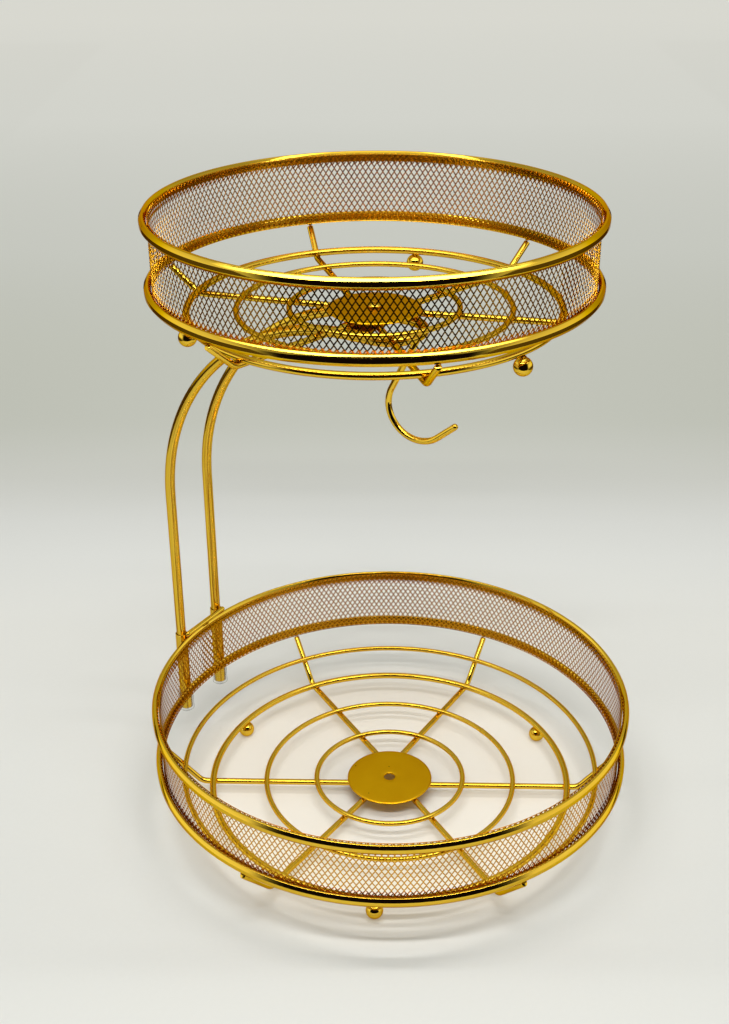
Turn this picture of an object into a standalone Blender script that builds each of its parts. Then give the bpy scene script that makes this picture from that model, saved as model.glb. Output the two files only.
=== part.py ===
"""Two-tier wire fruit stand with a hook for bananas.

Metres, +Z up. The stand rests on z = 0 with its arm at the back (+Y) and its hook towards the front (-Y).
Three assemblies each have an empty as parent: the lower basket stands on the table, the arm plugs into the
two sleeves behind it and lifts out straight up, and the upper basket turns on the screw that clamps it.
"""

from collections import namedtuple
from math import asin, cos, pi, radians, sin, sqrt, tan

import bmesh
import bpy
from mathutils import Matrix, Vector

# Clearance between pieces that touch
GAP = 0.0003

# Wires and tube stock
RIM_WIDTH = 0.0040
RIM_HEIGHT = 0.0063
SPOKE_WIRE = 0.0038
RING_WIRE = 0.0033
FOOT_RING_WIRE = 0.0042
HOOK_WIRE = 0.0038
ROD_WIRE = 0.0035
TUBE_DIAMETER = 0.00635
TUBE_WALL = 0.0006

# Expanded-metal walls, with a hem folded inside at each edge
MESH_THICKNESS = 0.0008
HEM_THICKNESS = 0.0016
TOP_HEM = 0.0050
BOTTOM_HEM = 0.0062
HEM_RECESS = 0.0008

# Coarse diamonds cut through the walls stand for the fine mesh; a bar is what is left between two of them
WALL_COLUMNS = 24
WALL_ROWS = 3
WALL_BAR = 0.0026
WALL_FACET_SHARE = 0.12

# Spokes: each wire is bent into a V, and its two legs turn up to the bottom rim
SPOKE_WIRES = 3
SPOKE_NOSE_RADIUS = 0.0060
SPOKE_BEND_RADIUS = 0.0080

# Floor of both baskets
DISC_THICKNESS = 0.0012
FOOT_DIAMETER = 0.0104
FOOT_OUTSET = 0.0010

# Lower basket
LOWER_DIAMETER = 0.3000
LOWER_FLOOR_TO_RIM = 0.0323
LOWER_RIM_SPACING = 0.0378
LOWER_RISE = radians(48)
LOWER_RING_1 = 0.0478
LOWER_RING_2 = 0.0806
LOWER_FOOT_RING_INSET = 0.0076
LOWER_SLOPE_RING_OUTSET = 0.0098
LOWER_DISC_DIAMETER = 0.0552
LOWER_HOLE_DIAMETER = 0.0070
LOWER_TURN = radians(-90)

# The lower spokes and feet are set by hand: each V's corner, opening and turn, and each foot's turn
LOWER_CORNERS = (0.0083, 0.0133, 0.0061)
LOWER_OPENINGS = (radians(59.6), radians(60.4), radians(57.1))
LOWER_SPOKE_TURNS = (radians(0.5), radians(1.0), radians(-1.1))
LOWER_FOOT_TURNS = (0, 0, radians(-3.3))

# Upper basket
UPPER_DIAMETER = 0.2516
UPPER_FLOOR_TO_RIM = 0.0201
UPPER_RIM_SPACING = 0.0376
UPPER_RISE = radians(42)
UPPER_RING_1 = 0.0474
UPPER_RING_2 = 0.0768
UPPER_FOOT_RING_INSET = 0.0028
UPPER_DISC_DIAMETER = 0.0533
UPPER_HOLE_DIAMETER = 0.0046
UPPER_TURN = radians(77.8)

# The same for the upper basket
UPPER_CORNERS = (0.0111, 0.0086, 0.0090)
UPPER_OPENINGS = (radians(57.5), radians(60.0), radians(55.8))
UPPER_SPOKE_TURNS = (radians(-0.9), 0, radians(-0.2))
UPPER_FOOT_TURNS = (0, 0, 0)

# Sleeves behind the lower basket, their plastic caps and the rod between them
SLEEVE_SPACING = 0.0381
SLEEVE_WALL = 0.00045
SLEEVE_LENGTH = 0.0594
SLEEVE_PROUD = 0.0010
CAP_WALL = 0.0008
CAP_FLOOR = 0.0012
CAP_FLARE = 0.0002
CAP_HEIGHT = 0.0150
ROD_OVERHANG = 0.0015

# Arm, measured on the tube's centre line
ARM_TOP = 0.3223
ARM_REACH = 0.1422
ARM_OVERHANG = 0.0289
ARM_LEVEL_RUN = 0.0165
ARM_BEND_RISE = 0.1353
PLATE_LENGTH = 0.0480
PLATE_WIDTH = 0.0200
PLATE_THICKNESS = 0.0021
PLATE_CORNER = 0.0030

# Hook, a circle hung under the arm's end with a straight stem and a straight tip
HOOK_DROP = 0.0436
HOOK_RADIUS = 0.0197
HOOK_TIP_RISE = radians(40)
HOOK_TIP_LENGTH = 0.0160

# Screw and nut
SCREW_DIAMETER = 0.0039
SCREW_HEAD_DIAMETER = 0.0076
SCREW_HEAD_EDGE = 0.0006
SCREW_HEAD_HEIGHT = 0.0025
SCREW_TAIL = 0.0015
RECESS_LENGTH = 0.0042
RECESS_WIDTH = 0.0009
RECESS_DEPTH = 0.0014
NUT_ACROSS_FLATS = 0.0070
NUT_HEIGHT = 0.0032
NUT_SIDES = 6

# Facets of round shapes
RIM_STEPS = 72
SMALL_RING_STEPS = 36
LARGE_RING_STEPS = 48
DISC_STEPS = 32
SMALL_STEPS = 16
RIM_SIDES = 8
RING_SIDES = 6
WIRE_SIDE_STEPS = 2
TUBE_SIDE_STEPS = 2
NECK_STEPS = 14
BEND_STEPS = 3
HOOK_STEPS = 16
U_STEPS = 10
DOME_STEPS = 4
CORNER_STEPS = 4
BALL_STEPS = 12
BALL_RINGS = 8
MERGE = 0.00001

# Sizes that follow from the ones above
HALF_SPACING = SLEEVE_SPACING / 2
TUBE_RADIUS = TUBE_DIAMETER / 2
SPOKE_RADIUS = SPOKE_WIRE / 2
SLEEVE_RADIUS = TUBE_RADIUS + GAP + SLEEVE_WALL
CAP_RADIUS = SLEEVE_RADIUS + GAP + CAP_WALL + CAP_FLARE
LOWER_RADIUS = LOWER_DIAMETER / 2

# Plan: the sleeves touch the lower rims from behind, and the whole stand is centred on the origin
SLEEVES_BEHIND = sqrt((LOWER_RADIUS + GAP + SLEEVE_RADIUS) ** 2 - HALF_SPACING ** 2)
LOWER_Y = (LOWER_RADIUS - SLEEVES_BEHIND - CAP_RADIUS) / 2
SLEEVE_Y = LOWER_Y + SLEEVES_BEHIND
UPPER_Y = SLEEVE_Y - ARM_REACH

# Heights, from the table up
LOWER_FLOOR = FOOT_DIAMETER - SPOKE_RADIUS
LOWER_RIM_TOP = LOWER_FLOOR + LOWER_FLOOR_TO_RIM + LOWER_RIM_SPACING + RIM_HEIGHT / 2
ROD_Z = LOWER_RIM_TOP + GAP + ROD_WIRE / 2
SLEEVE_TOP = LOWER_RIM_TOP + SLEEVE_PROUD
SLEEVE_BOTTOM = SLEEVE_TOP - SLEEVE_LENGTH
CAP_BOTTOM = SLEEVE_BOTTOM - GAP - CAP_FLOOR
PLATE_BOTTOM = ARM_TOP + TUBE_RADIUS + GAP
UPPER_FLOOR = PLATE_BOTTOM + PLATE_THICKNESS + GAP + SPOKE_RADIUS
HEAD_BOTTOM = UPPER_FLOOR + SPOKE_RADIUS + GAP + DISC_THICKNESS + GAP
NUT_TOP = PLATE_BOTTOM - GAP
SCREW_END = NUT_TOP - NUT_HEIGHT - SCREW_TAIL

# What the two baskets have of their own
BASKET_SIZES = ("name diameter floor_to_rim rim_spacing rise rings foot_ring_inset slope_ring disc hole "
                "corners openings spoke_turns foot_turns")
Basket = namedtuple("Basket", BASKET_SIZES)

LOWER = Basket("lower", LOWER_DIAMETER, LOWER_FLOOR_TO_RIM, LOWER_RIM_SPACING, LOWER_RISE,
               (LOWER_RING_1, LOWER_RING_2), LOWER_FOOT_RING_INSET, LOWER_SLOPE_RING_OUTSET,
               LOWER_DISC_DIAMETER, LOWER_HOLE_DIAMETER, LOWER_CORNERS, LOWER_OPENINGS,
               LOWER_SPOKE_TURNS, LOWER_FOOT_TURNS)
UPPER = Basket("upper", UPPER_DIAMETER, UPPER_FLOOR_TO_RIM, UPPER_RIM_SPACING, UPPER_RISE,
               (UPPER_RING_1, UPPER_RING_2), UPPER_FOOT_RING_INSET, None,
               UPPER_DISC_DIAMETER, UPPER_HOLE_DIAMETER, UPPER_CORNERS, UPPER_OPENINGS,
               UPPER_SPOKE_TURNS, UPPER_FOOT_TURNS)


def clear_scene():
    """Remove every object that the scene starts with."""
    for thing in list(bpy.data.objects):
        bpy.data.objects.remove(thing, do_unlink=True)


def new_collection(name):
    """A collection of the scene."""
    collection = bpy.data.collections.new(name)
    bpy.context.scene.collection.children.link(collection)
    return collection


def finish(name, colour, roughness, metallic, opacity=1):
    """A plain surface; the colour is linear red, green and blue."""
    material = bpy.data.materials.new(name)
    material.use_nodes = True
    shader = material.node_tree.nodes["Principled BSDF"]
    shader.inputs["Base Color"].default_value = (*colour, 1)
    shader.inputs["Roughness"].default_value = roughness
    shader.inputs["Metallic"].default_value = metallic
    shader.inputs["Alpha"].default_value = opacity
    material.diffuse_color = (*colour, opacity)
    return material


def add_empty(name, place, turn, collection):
    """The parent of one assembly, on the axis that it moves about or along."""
    empty = bpy.data.objects.new(name, None)
    empty.location = place
    empty.rotation_euler.z = turn
    collection.objects.link(empty)
    return empty


def add_object(name, data, material, parent, place=(0, 0, 0), turn=0):
    """Put a mesh or curve in the stand's collection, under its assembly's empty."""
    thing = bpy.data.objects.new(name, data)
    thing.location = place
    thing.rotation_euler.z = turn
    thing.parent = parent
    if not data.materials:
        data.materials.append(material)
    STAND.objects.link(thing)
    return thing


def profile_mesh(name, points, closed):
    """A line of (radius, height) points in the XZ plane, to be turned about Z."""
    mesh = bpy.data.meshes.new(name)
    edges = [(i, i + 1) for i in range(len(points) - 1)]
    if closed:
        edges.append((len(points) - 1, 0))
    mesh.from_pydata([(r, 0, z) for r, z in points], edges, [])
    return mesh


def add_turned(name, points, steps, material, parent, place=(0, 0, 0), closed=True):
    """A profile turned once about Z; its outer side runs from top to bottom."""
    thing = add_object(name, profile_mesh(name, points, closed), material, parent, place)
    turning = thing.modifiers.new("Turn", "SCREW")
    turning.axis = "Z"
    turning.angle = 2 * pi
    turning.steps = steps
    turning.render_steps = steps
    turning.use_merge_vertices = True
    turning.merge_threshold = MERGE
    turning.use_smooth_shade = True
    return thing


def oval(radius, height, width, depth, sides, turn=0):
    """Points of an oval section, clockwise seen from -Y, so that its outer side runs down."""
    steps = [turn + 2 * pi * i / sides for i in range(sides)]
    return [(radius + width / 2 * cos(a), height - depth / 2 * sin(a)) for a in steps]


def wire_curve(name, points, diameter, capped=True, side_steps=WIRE_SIDE_STEPS):
    """A round wire or tube along straight runs between points."""
    curve = bpy.data.curves.new(name, "CURVE")
    curve.dimensions = "3D"
    curve.bevel_depth = diameter / 2
    curve.bevel_resolution = side_steps
    curve.use_fill_caps = capped
    spline = curve.splines.new("POLY")
    spline.points.add(len(points) - 1)
    for target, point in zip(spline.points, points):
        target.co = (*point, 1)
    return curve


def rounded(corners, radii, steps):
    """A path through corners, each inner corner replaced by an arc of its radius."""
    path = [Vector(corners[0])]
    for before, corner, after, radius in zip(corners, corners[1:], corners[2:], radii):
        corner = Vector(corner)
        back = (Vector(before) - corner).normalized()
        ahead = (Vector(after) - corner).normalized()
        half = back.angle(ahead) / 2
        centre = corner + (back + ahead).normalized() * radius / sin(half)
        start = corner + back * radius / tan(half) - centre
        axis = ahead.cross(back)
        for i in range(steps + 1):
            path.append(centre + Matrix.Rotation((pi - 2 * half) * i / steps, 3, axis) @ start)
    path.append(Vector(corners[-1]))
    return path


def flat_curve(name, outlines, thickness):
    """A flat plate: the first outline is its edge, and the others are holes."""
    curve = bpy.data.curves.new(name, "CURVE")
    curve.dimensions = "2D"
    curve.fill_mode = "BOTH"
    curve.extrude = thickness / 2
    for outline in outlines:
        spline = curve.splines.new("POLY")
        spline.points.add(len(outline) - 1)
        for target, (x, y) in zip(spline.points, outline):
            target.co = (x, y, 0, 1)
        spline.use_cyclic_u = True
    return curve


def circle(radius, steps):
    """Points of a circle about the origin."""
    angles = [2 * pi * i / steps for i in range(steps)]
    return [(radius * cos(angle), radius * sin(angle)) for angle in angles]


def rounded_rectangle(length, width, corner):
    """A rectangle with round corners, about the origin."""
    points = []
    for quarter, (side, end) in enumerate(((1, 1), (-1, 1), (-1, -1), (1, -1))):
        for i in range(CORNER_STEPS + 1):
            angle = (quarter + i / CORNER_STEPS) * pi / 2
            x = side * (length / 2 - corner) + corner * cos(angle)
            y = end * (width / 2 - corner) + corner * sin(angle)
            points.append((x, y))
    return points


def spoke_bend_radius(basket):
    """Distance from the basket's axis at which the spokes turn up: they end under the bottom rim's centre."""
    return basket.diameter / 2 - RIM_WIDTH / 2 - spoke_rise(basket) / tan(basket.rise)


def spoke_rise(basket):
    """Height of the spokes' ends over their level part, with their cut ends just under the bottom rim."""
    return basket.floor_to_rim - RIM_HEIGHT / 2 - GAP - SPOKE_RADIUS * cos(basket.rise)


def foot_ring_radius(basket):
    """The ring over the feet lies just inside the spokes' upward bend."""
    return spoke_bend_radius(basket) - basket.foot_ring_inset


def add_rims(basket, parent):
    """Two rims of oval wire."""
    radius = basket.diameter / 2 - RIM_WIDTH / 2
    heights = {"top": basket.floor_to_rim + basket.rim_spacing, "bottom": basket.floor_to_rim}
    for place, height in heights.items():
        section = oval(radius, height, RIM_WIDTH, RIM_HEIGHT, RIM_SIDES)
        add_turned(f"{basket.name}_{place}_rim", section, RIM_STEPS, GOLD, parent)


def add_diamond_cutters(name, radius, low, high, parent):
    """Four-sided prisms in staggered rows round the wall, turned a little so that none meets a facet's edge."""
    half_width = pi * radius / WALL_COLUMNS
    half_height = (high - low) / (WALL_ROWS + 1)
    clearance = half_width * half_height / sqrt(half_width ** 2 + half_height ** 2)
    share = 1 - WALL_BAR / 2 / clearance
    size = Matrix.Diagonal((half_height * share, half_width * share, WALL_BAR * 2, 1))
    offset = 2 * pi / RIM_STEPS * WALL_FACET_SHARE
    prisms = bmesh.new()
    for row in range(WALL_ROWS):
        place = Matrix.Translation((radius, 0, low + half_height * (row + 1)))
        for column in range(WALL_COLUMNS):
            angle = 2 * pi * (column + row % 2 / 2) / WALL_COLUMNS + offset
            pose = Matrix.Rotation(angle, 4, "Z") @ place @ Matrix.Rotation(pi / 2, 4, "Y") @ size
            bmesh.ops.create_cone(prisms, cap_ends=True, segments=4, radius1=1, radius2=1, depth=2,
                                  matrix=pose)
    mesh = bpy.data.meshes.new(name)
    prisms.to_mesh(mesh)
    prisms.free()
    cutter = bpy.data.objects.new(name, mesh)
    cutter.parent = parent
    cutter.hide_render = True
    cutter.display_type = "WIRE"
    CUTTERS.objects.link(cutter)
    return cutter


def add_wall(basket, parent):
    """The wall lines the rims; its hems are thicker and lie inside, and diamonds open it between them."""
    outer = basket.diameter / 2 - RIM_WIDTH - GAP
    inner = outer - MESH_THICKNESS
    hem = outer - HEM_THICKNESS
    top = basket.floor_to_rim + basket.rim_spacing + RIM_HEIGHT / 2 - HEM_RECESS
    bottom = basket.floor_to_rim - RIM_HEIGHT / 2 + HEM_RECESS
    top_hem = top - TOP_HEM
    bottom_hem = bottom + BOTTOM_HEM
    section = [(outer, top), (outer, bottom), (hem, bottom), (hem, bottom_hem),
               (inner, bottom_hem), (inner, top_hem), (hem, top_hem), (hem, top)]
    wall = add_turned(f"{basket.name}_mesh_wall", section, RIM_STEPS, AMBER, parent)
    cut = wall.modifiers.new("Mesh", "BOOLEAN")
    cut.operation = "DIFFERENCE"
    cut.solver = "EXACT"
    cut.object = add_diamond_cutters(f"{basket.name}_mesh_cutter", outer, bottom_hem, top_hem, parent)


def add_ring(basket, number, radius, height, wire, steps, parent):
    """A floor ring of round wire, with a flat corner neither on top nor below."""
    section = oval(radius, height, wire, wire, RING_SIDES, pi / 2)
    add_turned(f"{basket.name}_ring_{number}", section, steps, GOLD, parent)


def add_rings(basket, parent):
    """Rings lie on the spokes' level part, and a last one on their slope."""
    level = SPOKE_RADIUS + GAP
    steps = (SMALL_RING_STEPS, LARGE_RING_STEPS)
    for number, radius in enumerate(basket.rings):
        add_ring(basket, number + 1, radius, level + RING_WIRE / 2, RING_WIRE, steps[number], parent)
    add_ring(basket, len(basket.rings) + 1, foot_ring_radius(basket), level + FOOT_RING_WIRE / 2,
             FOOT_RING_WIRE, LARGE_RING_STEPS, parent)
    if basket.slope_ring:
        reach = SPOKE_RADIUS + GAP + RING_WIRE / 2
        height = basket.slope_ring * tan(basket.rise) + reach / cos(basket.rise)
        add_ring(basket, len(basket.rings) + 2, spoke_bend_radius(basket) + basket.slope_ring, height,
                 RING_WIRE, LARGE_RING_STEPS, parent)


def spoke_path(basket, corner_distance, opening):
    """One V about +X: out along a leg's line from the V's corner, level and then up to the rim."""
    corner = Vector((corner_distance, 0, 0))
    bend = spoke_bend_radius(basket)
    rise = spoke_rise(basket)
    run = rise / tan(basket.rise)
    ends = []
    for side in (-1, 1):
        leg = Vector((cos(opening / 2), side * sin(opening / 2), 0))
        along = corner.dot(leg)
        to_bend = sqrt(bend ** 2 - corner_distance ** 2 + along ** 2) - along
        turn_up = corner + leg * to_bend
        ends.append((turn_up, turn_up + leg * run + Vector((0, 0, rise))))
    (left_bend, left_end), (right_bend, right_end) = ends
    corners = [left_end, left_bend, corner, right_bend, right_end]
    return rounded(corners, (SPOKE_BEND_RADIUS, SPOKE_NOSE_RADIUS, SPOKE_BEND_RADIUS), BEND_STEPS)


def add_spokes(basket, parent):
    """Three V-shaped wires make six spokes."""
    for i in range(SPOKE_WIRES):
        name = f"{basket.name}_spoke_{i + 1}"
        path = spoke_path(basket, basket.corners[i], basket.openings[i])
        turn = 2 * pi * i / SPOKE_WIRES + basket.spoke_turns[i]
        add_object(name, wire_curve(name, path, SPOKE_WIRE), GOLD, parent, turn=turn)


def add_disc(basket, parent):
    """The centre disc lies on the spokes and has a hole for a screw."""
    bottom = SPOKE_RADIUS + GAP
    top = bottom + DISC_THICKNESS
    edge = basket.disc / 2
    hole = basket.hole / 2
    section = [(edge, top), (edge, bottom), (hole, bottom), (hole, top)]
    disc = add_turned(f"{basket.name}_disc", section, DISC_STEPS, SATIN_GOLD, parent)
    disc.modifiers["Turn"].use_smooth_shade = False


def add_feet(basket, parent):
    """Ball feet hang under the foot ring, midway between the spokes' wires."""
    ball = bmesh.new()
    bmesh.ops.create_uvsphere(ball, u_segments=BALL_STEPS, v_segments=BALL_RINGS, radius=FOOT_DIAMETER / 2)
    mesh = bpy.data.meshes.new(f"{basket.name}_foot")
    ball.to_mesh(mesh)
    ball.free()
    mesh.shade_smooth()
    out = foot_ring_radius(basket) + FOOT_OUTSET
    height = SPOKE_RADIUS - FOOT_DIAMETER / 2
    for i in range(SPOKE_WIRES):
        turn = 2 * pi * (i + 0.5) / SPOKE_WIRES + basket.foot_turns[i]
        place = (out * cos(turn), out * sin(turn), height)
        add_object(f"{basket.name}_foot_{i + 1}", mesh, GOLD, parent, place)


def add_basket(basket, parent):
    """All pieces of one basket, about its own axis and over its spokes' level."""
    add_rims(basket, parent)
    add_wall(basket, parent)
    add_rings(basket, parent)
    add_spokes(basket, parent)
    add_disc(basket, parent)
    add_feet(basket, parent)


def add_sleeve(name, x, parent):
    """A thin tube that takes one leg of the arm."""
    bore = TUBE_RADIUS + GAP
    section = [(SLEEVE_RADIUS, SLEEVE_TOP), (SLEEVE_RADIUS, SLEEVE_BOTTOM),
               (bore, SLEEVE_BOTTOM), (bore, SLEEVE_TOP)]
    add_turned(name, section, SMALL_STEPS, GOLD, parent, (x, SLEEVE_Y, 0))


def add_cap(name, x, parent):
    """A clear cup pushed over a sleeve's lower end, a little wider at its floor."""
    top = CAP_BOTTOM + CAP_HEIGHT
    floor = CAP_BOTTOM + CAP_FLOOR
    inside = SLEEVE_RADIUS + GAP
    section = [(0, floor), (inside, floor), (inside, top), (inside + CAP_WALL, top),
               (CAP_RADIUS, floor), (CAP_RADIUS, CAP_BOTTOM), (0, CAP_BOTTOM)]
    add_turned(name, section, SMALL_STEPS, CLEAR, parent, (x, SLEEVE_Y, 0), closed=False)


def add_sleeves(parent):
    """Two sleeves with caps, joined by a rod that lies on the top rim against their front."""
    for side, x in (("left", -HALF_SPACING), ("right", HALF_SPACING)):
        add_sleeve(f"sleeve_{side}", x, parent)
        add_cap(f"sleeve_cap_{side}", x, parent)
    reach = HALF_SPACING + ROD_OVERHANG
    y = SLEEVE_Y - SLEEVE_RADIUS - GAP - ROD_WIRE / 2
    rod = wire_curve("sleeve_rod", [(-reach, y, ROD_Z), (reach, y, ROD_Z)], ROD_WIRE)
    add_object("sleeve_rod", rod, GOLD, parent)


def arm_path():
    """Up one leg, over a quarter oval, level, round the U and back down the other leg."""
    end = ARM_REACH + ARM_OVERHANG
    level = end - HALF_SPACING
    run = level - ARM_LEVEL_RUN
    straight_top = ARM_TOP - ARM_BEND_RISE
    leg_bottom = SLEEVE_BOTTOM
    leg = [Vector((HALF_SPACING, 0, leg_bottom))]
    for i in range(NECK_STEPS + 1):
        angle = pi / 2 * i / NECK_STEPS
        leg.append(Vector((HALF_SPACING, -run * (1 - cos(angle)), straight_top + ARM_BEND_RISE * sin(angle))))
    bend = []
    for i in range(U_STEPS + 1):
        angle = pi * i / U_STEPS
        bend.append(Vector((HALF_SPACING * cos(angle), -level - HALF_SPACING * sin(angle), ARM_TOP)))
    mirror = Matrix.Scale(-1, 3, (1, 0, 0))
    return leg + bend + [mirror @ point for point in reversed(leg)]


def add_arm_tube(parent):
    """One hollow tube bent into a hairpin, open at its two lower ends."""
    curve = wire_curve("arm_tube_line", arm_path(), TUBE_DIAMETER, capped=False, side_steps=TUBE_SIDE_STEPS)
    guide = bpy.data.objects.new("arm_tube_line", curve)
    STAND.objects.link(guide)
    evaluated = guide.evaluated_get(bpy.context.evaluated_depsgraph_get())
    mesh = bpy.data.meshes.new_from_object(evaluated)
    skin = bmesh.new()
    skin.from_mesh(mesh)
    bmesh.ops.remove_doubles(skin, verts=skin.verts, dist=MERGE)
    skin.to_mesh(mesh)
    skin.free()
    bpy.data.objects.remove(guide, do_unlink=True)
    mesh.shade_smooth()
    tube = add_object("arm_tube", mesh, GOLD, parent)
    wall = tube.modifiers.new("Wall", "SOLIDIFY")
    wall.thickness = TUBE_WALL
    wall.offset = -1


def add_plate(parent):
    """The cross plate lies on both tubes and carries the upper basket."""
    outlines = [rounded_rectangle(PLATE_LENGTH, PLATE_WIDTH, PLATE_CORNER),
                circle(UPPER_HOLE_DIAMETER / 2, SMALL_STEPS)]
    plate = flat_curve("arm_plate", outlines, PLATE_THICKNESS)
    add_object("arm_plate", plate, GOLD, parent, (0, -ARM_REACH, PLATE_BOTTOM + PLATE_THICKNESS / 2))


def hook_path():
    """Stem from the tube's underside, tangent to the hook's circle, then a straight tip tangent to it."""
    centre_z = ARM_TOP - HOOK_DROP
    lean = asin(HOOK_RADIUS / HOOK_DROP)
    stem_way = Vector((0, sin(lean), -cos(lean)))
    stem_top = Vector((0, 0, ARM_TOP)) + stem_way * (TUBE_RADIUS + GAP)
    end = -pi / 2 - HOOK_TIP_RISE
    path = [stem_top]
    for i in range(HOOK_STEPS + 1):
        angle = lean + (end - lean) * i / HOOK_STEPS
        path.append(Vector((0, HOOK_RADIUS * cos(angle), centre_z + HOOK_RADIUS * sin(angle))))
    path.append(path[-1] + Vector((0, -cos(HOOK_TIP_RISE), sin(HOOK_TIP_RISE))) * HOOK_TIP_LENGTH)
    return path


def add_hook(parent):
    """The banana hook hangs under the end of the U-bend, open to the front."""
    hook = wire_curve("banana_hook", hook_path(), HOOK_WIRE)
    add_object("banana_hook", hook, GOLD, parent, (0, -ARM_REACH - ARM_OVERHANG, 0))


def screw_profile():
    """Domed head and plain shank, from the dome's top down to the end."""
    head = SCREW_HEAD_DIAMETER / 2
    shank = SCREW_DIAMETER / 2
    edge = HEAD_BOTTOM + SCREW_HEAD_EDGE
    dome = SCREW_HEAD_HEIGHT - SCREW_HEAD_EDGE
    points = []
    for i in range(DOME_STEPS + 1):
        angle = pi / 2 * i / DOME_STEPS
        points.append((head * sin(angle), edge + dome * cos(angle)))
    return points + [(head, HEAD_BOTTOM), (shank, HEAD_BOTTOM), (shank, SCREW_END), (0, SCREW_END)]


def add_recess_cutter(name, turn, place):
    """One bar of the cross recess in the screw's head."""
    bar = bmesh.new()
    bmesh.ops.create_cube(bar, size=1)
    bmesh.ops.scale(bar, vec=(RECESS_LENGTH, RECESS_WIDTH, 2 * RECESS_DEPTH), verts=bar.verts)
    mesh = bpy.data.meshes.new(name)
    bar.to_mesh(mesh)
    bar.free()
    cutter = bpy.data.objects.new(name, mesh)
    cutter.location = place
    cutter.rotation_euler.z = turn
    cutter.hide_render = True
    cutter.display_type = "WIRE"
    CUTTERS.objects.link(cutter)
    return cutter


def add_screw(parent):
    """The screw goes through the upper disc and the plate, and clamps the basket between head and nut."""
    place = (0, -ARM_REACH, 0)
    screw = add_turned("clamp_screw", screw_profile(), SMALL_STEPS, STEEL, parent, place, closed=False)
    head_top = HEAD_BOTTOM + SCREW_HEAD_HEIGHT
    for number, turn in enumerate((pi / 4, -pi / 4)):
        cutter = add_recess_cutter(f"recess_bar_{number + 1}", turn, (0, UPPER_Y, head_top))
        cut = screw.modifiers.new("Recess", "BOOLEAN")
        cut.operation = "DIFFERENCE"
        cut.solver = "EXACT"
        cut.object = cutter


def add_nut(parent):
    """A six-sided nut under the plate, between the tubes."""
    corners = circle(NUT_ACROSS_FLATS / 2 / cos(pi / NUT_SIDES), NUT_SIDES)
    bore = circle(SCREW_DIAMETER / 2 + GAP, SMALL_STEPS)
    nut = flat_curve("clamp_nut", [corners, bore], NUT_HEIGHT)
    add_object("clamp_nut", nut, STEEL, parent, (0, -ARM_REACH, NUT_TOP - NUT_HEIGHT / 2))


clear_scene()
STAND = new_collection("fruit_stand")
CUTTERS = new_collection("cutters")
GOLD = finish("bright gold plate", (0.58, 0.31, 0.012), 0.12, 1)
SATIN_GOLD = finish("satin gold plate", (0.52, 0.29, 0.012), 0.3, 1)
AMBER = finish("gold-plated expanded metal", (0.42, 0.19, 0.008), 0.25, 1)
STEEL = finish("gold-plated screw", (0.60, 0.36, 0.03), 0.2, 1)
CLEAR = finish("clear plastic", (0.85, 0.85, 0.83), 0.1, 0, opacity=0.4)

lower_basket = add_empty("lower_basket", (0, LOWER_Y, LOWER_FLOOR), LOWER_TURN, STAND)
sleeves = add_empty("sleeves", (0, 0, 0), 0, STAND)
arm = add_empty("arm", (0, SLEEVE_Y, 0), 0, STAND)
upper_basket = add_empty("upper_basket", (0, UPPER_Y, UPPER_FLOOR), UPPER_TURN, STAND)
add_basket(LOWER, lower_basket)
add_basket(UPPER, upper_basket)
add_sleeves(sleeves)
add_arm_tube(arm)
add_plate(arm)
add_hook(arm)
add_screw(arm)
add_nut(arm)
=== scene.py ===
"""Two-tier wire fruit stand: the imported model's frame dressed with wires, mesh, finishes, light and a camera.

The file is laid out as an add-on and run as a script. Metres, +Z up. Every new piece is a numpy surface. All
but the welds stand for one node of the frame, at the same place.
"""

from collections import namedtuple
from math import cos, pi, radians, sin, sqrt, tan

import bpy
import numpy as np
from bpy.props import FloatProperty, FloatVectorProperty, PointerProperty
from mathutils import Matrix, Vector


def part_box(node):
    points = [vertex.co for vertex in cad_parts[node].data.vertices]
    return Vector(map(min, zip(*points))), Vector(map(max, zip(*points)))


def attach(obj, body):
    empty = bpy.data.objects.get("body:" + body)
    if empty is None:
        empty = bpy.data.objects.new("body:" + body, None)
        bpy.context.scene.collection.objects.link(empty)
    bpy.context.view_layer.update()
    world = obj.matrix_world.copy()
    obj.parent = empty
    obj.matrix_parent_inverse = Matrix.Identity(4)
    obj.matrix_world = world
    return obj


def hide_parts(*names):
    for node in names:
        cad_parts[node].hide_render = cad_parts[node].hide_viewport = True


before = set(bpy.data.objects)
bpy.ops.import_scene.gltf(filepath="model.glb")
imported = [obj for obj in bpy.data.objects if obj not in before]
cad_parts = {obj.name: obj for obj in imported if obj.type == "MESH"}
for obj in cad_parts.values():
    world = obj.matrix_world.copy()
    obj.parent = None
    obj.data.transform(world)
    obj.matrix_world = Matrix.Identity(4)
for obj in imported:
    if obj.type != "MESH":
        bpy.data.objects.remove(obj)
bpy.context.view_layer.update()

bl_info = {
    "name": "Two-tier wire fruit stand",
    "version": (1, 0, 0),
    "blender": (4, 5, 0),
    "location": "3D View > Sidebar > Fruit stand",
    "description": "Builds a gold-plated two-tier wire fruit stand with a banana hook",
    "category": "Add Mesh",
}

# Clearance that the frame keeps between pieces, filled here by welds
GAP = 0.0003

# The rim wire's section: where its sides end, how wide its crown is, and its corners' radius
SHOULDER_SHARE = 0.38
CROWN_SHARE = 0.27
RIM_CORNER = 0.0006

# Points round each ring and rim
ROUND_STEPS = 240

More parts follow.
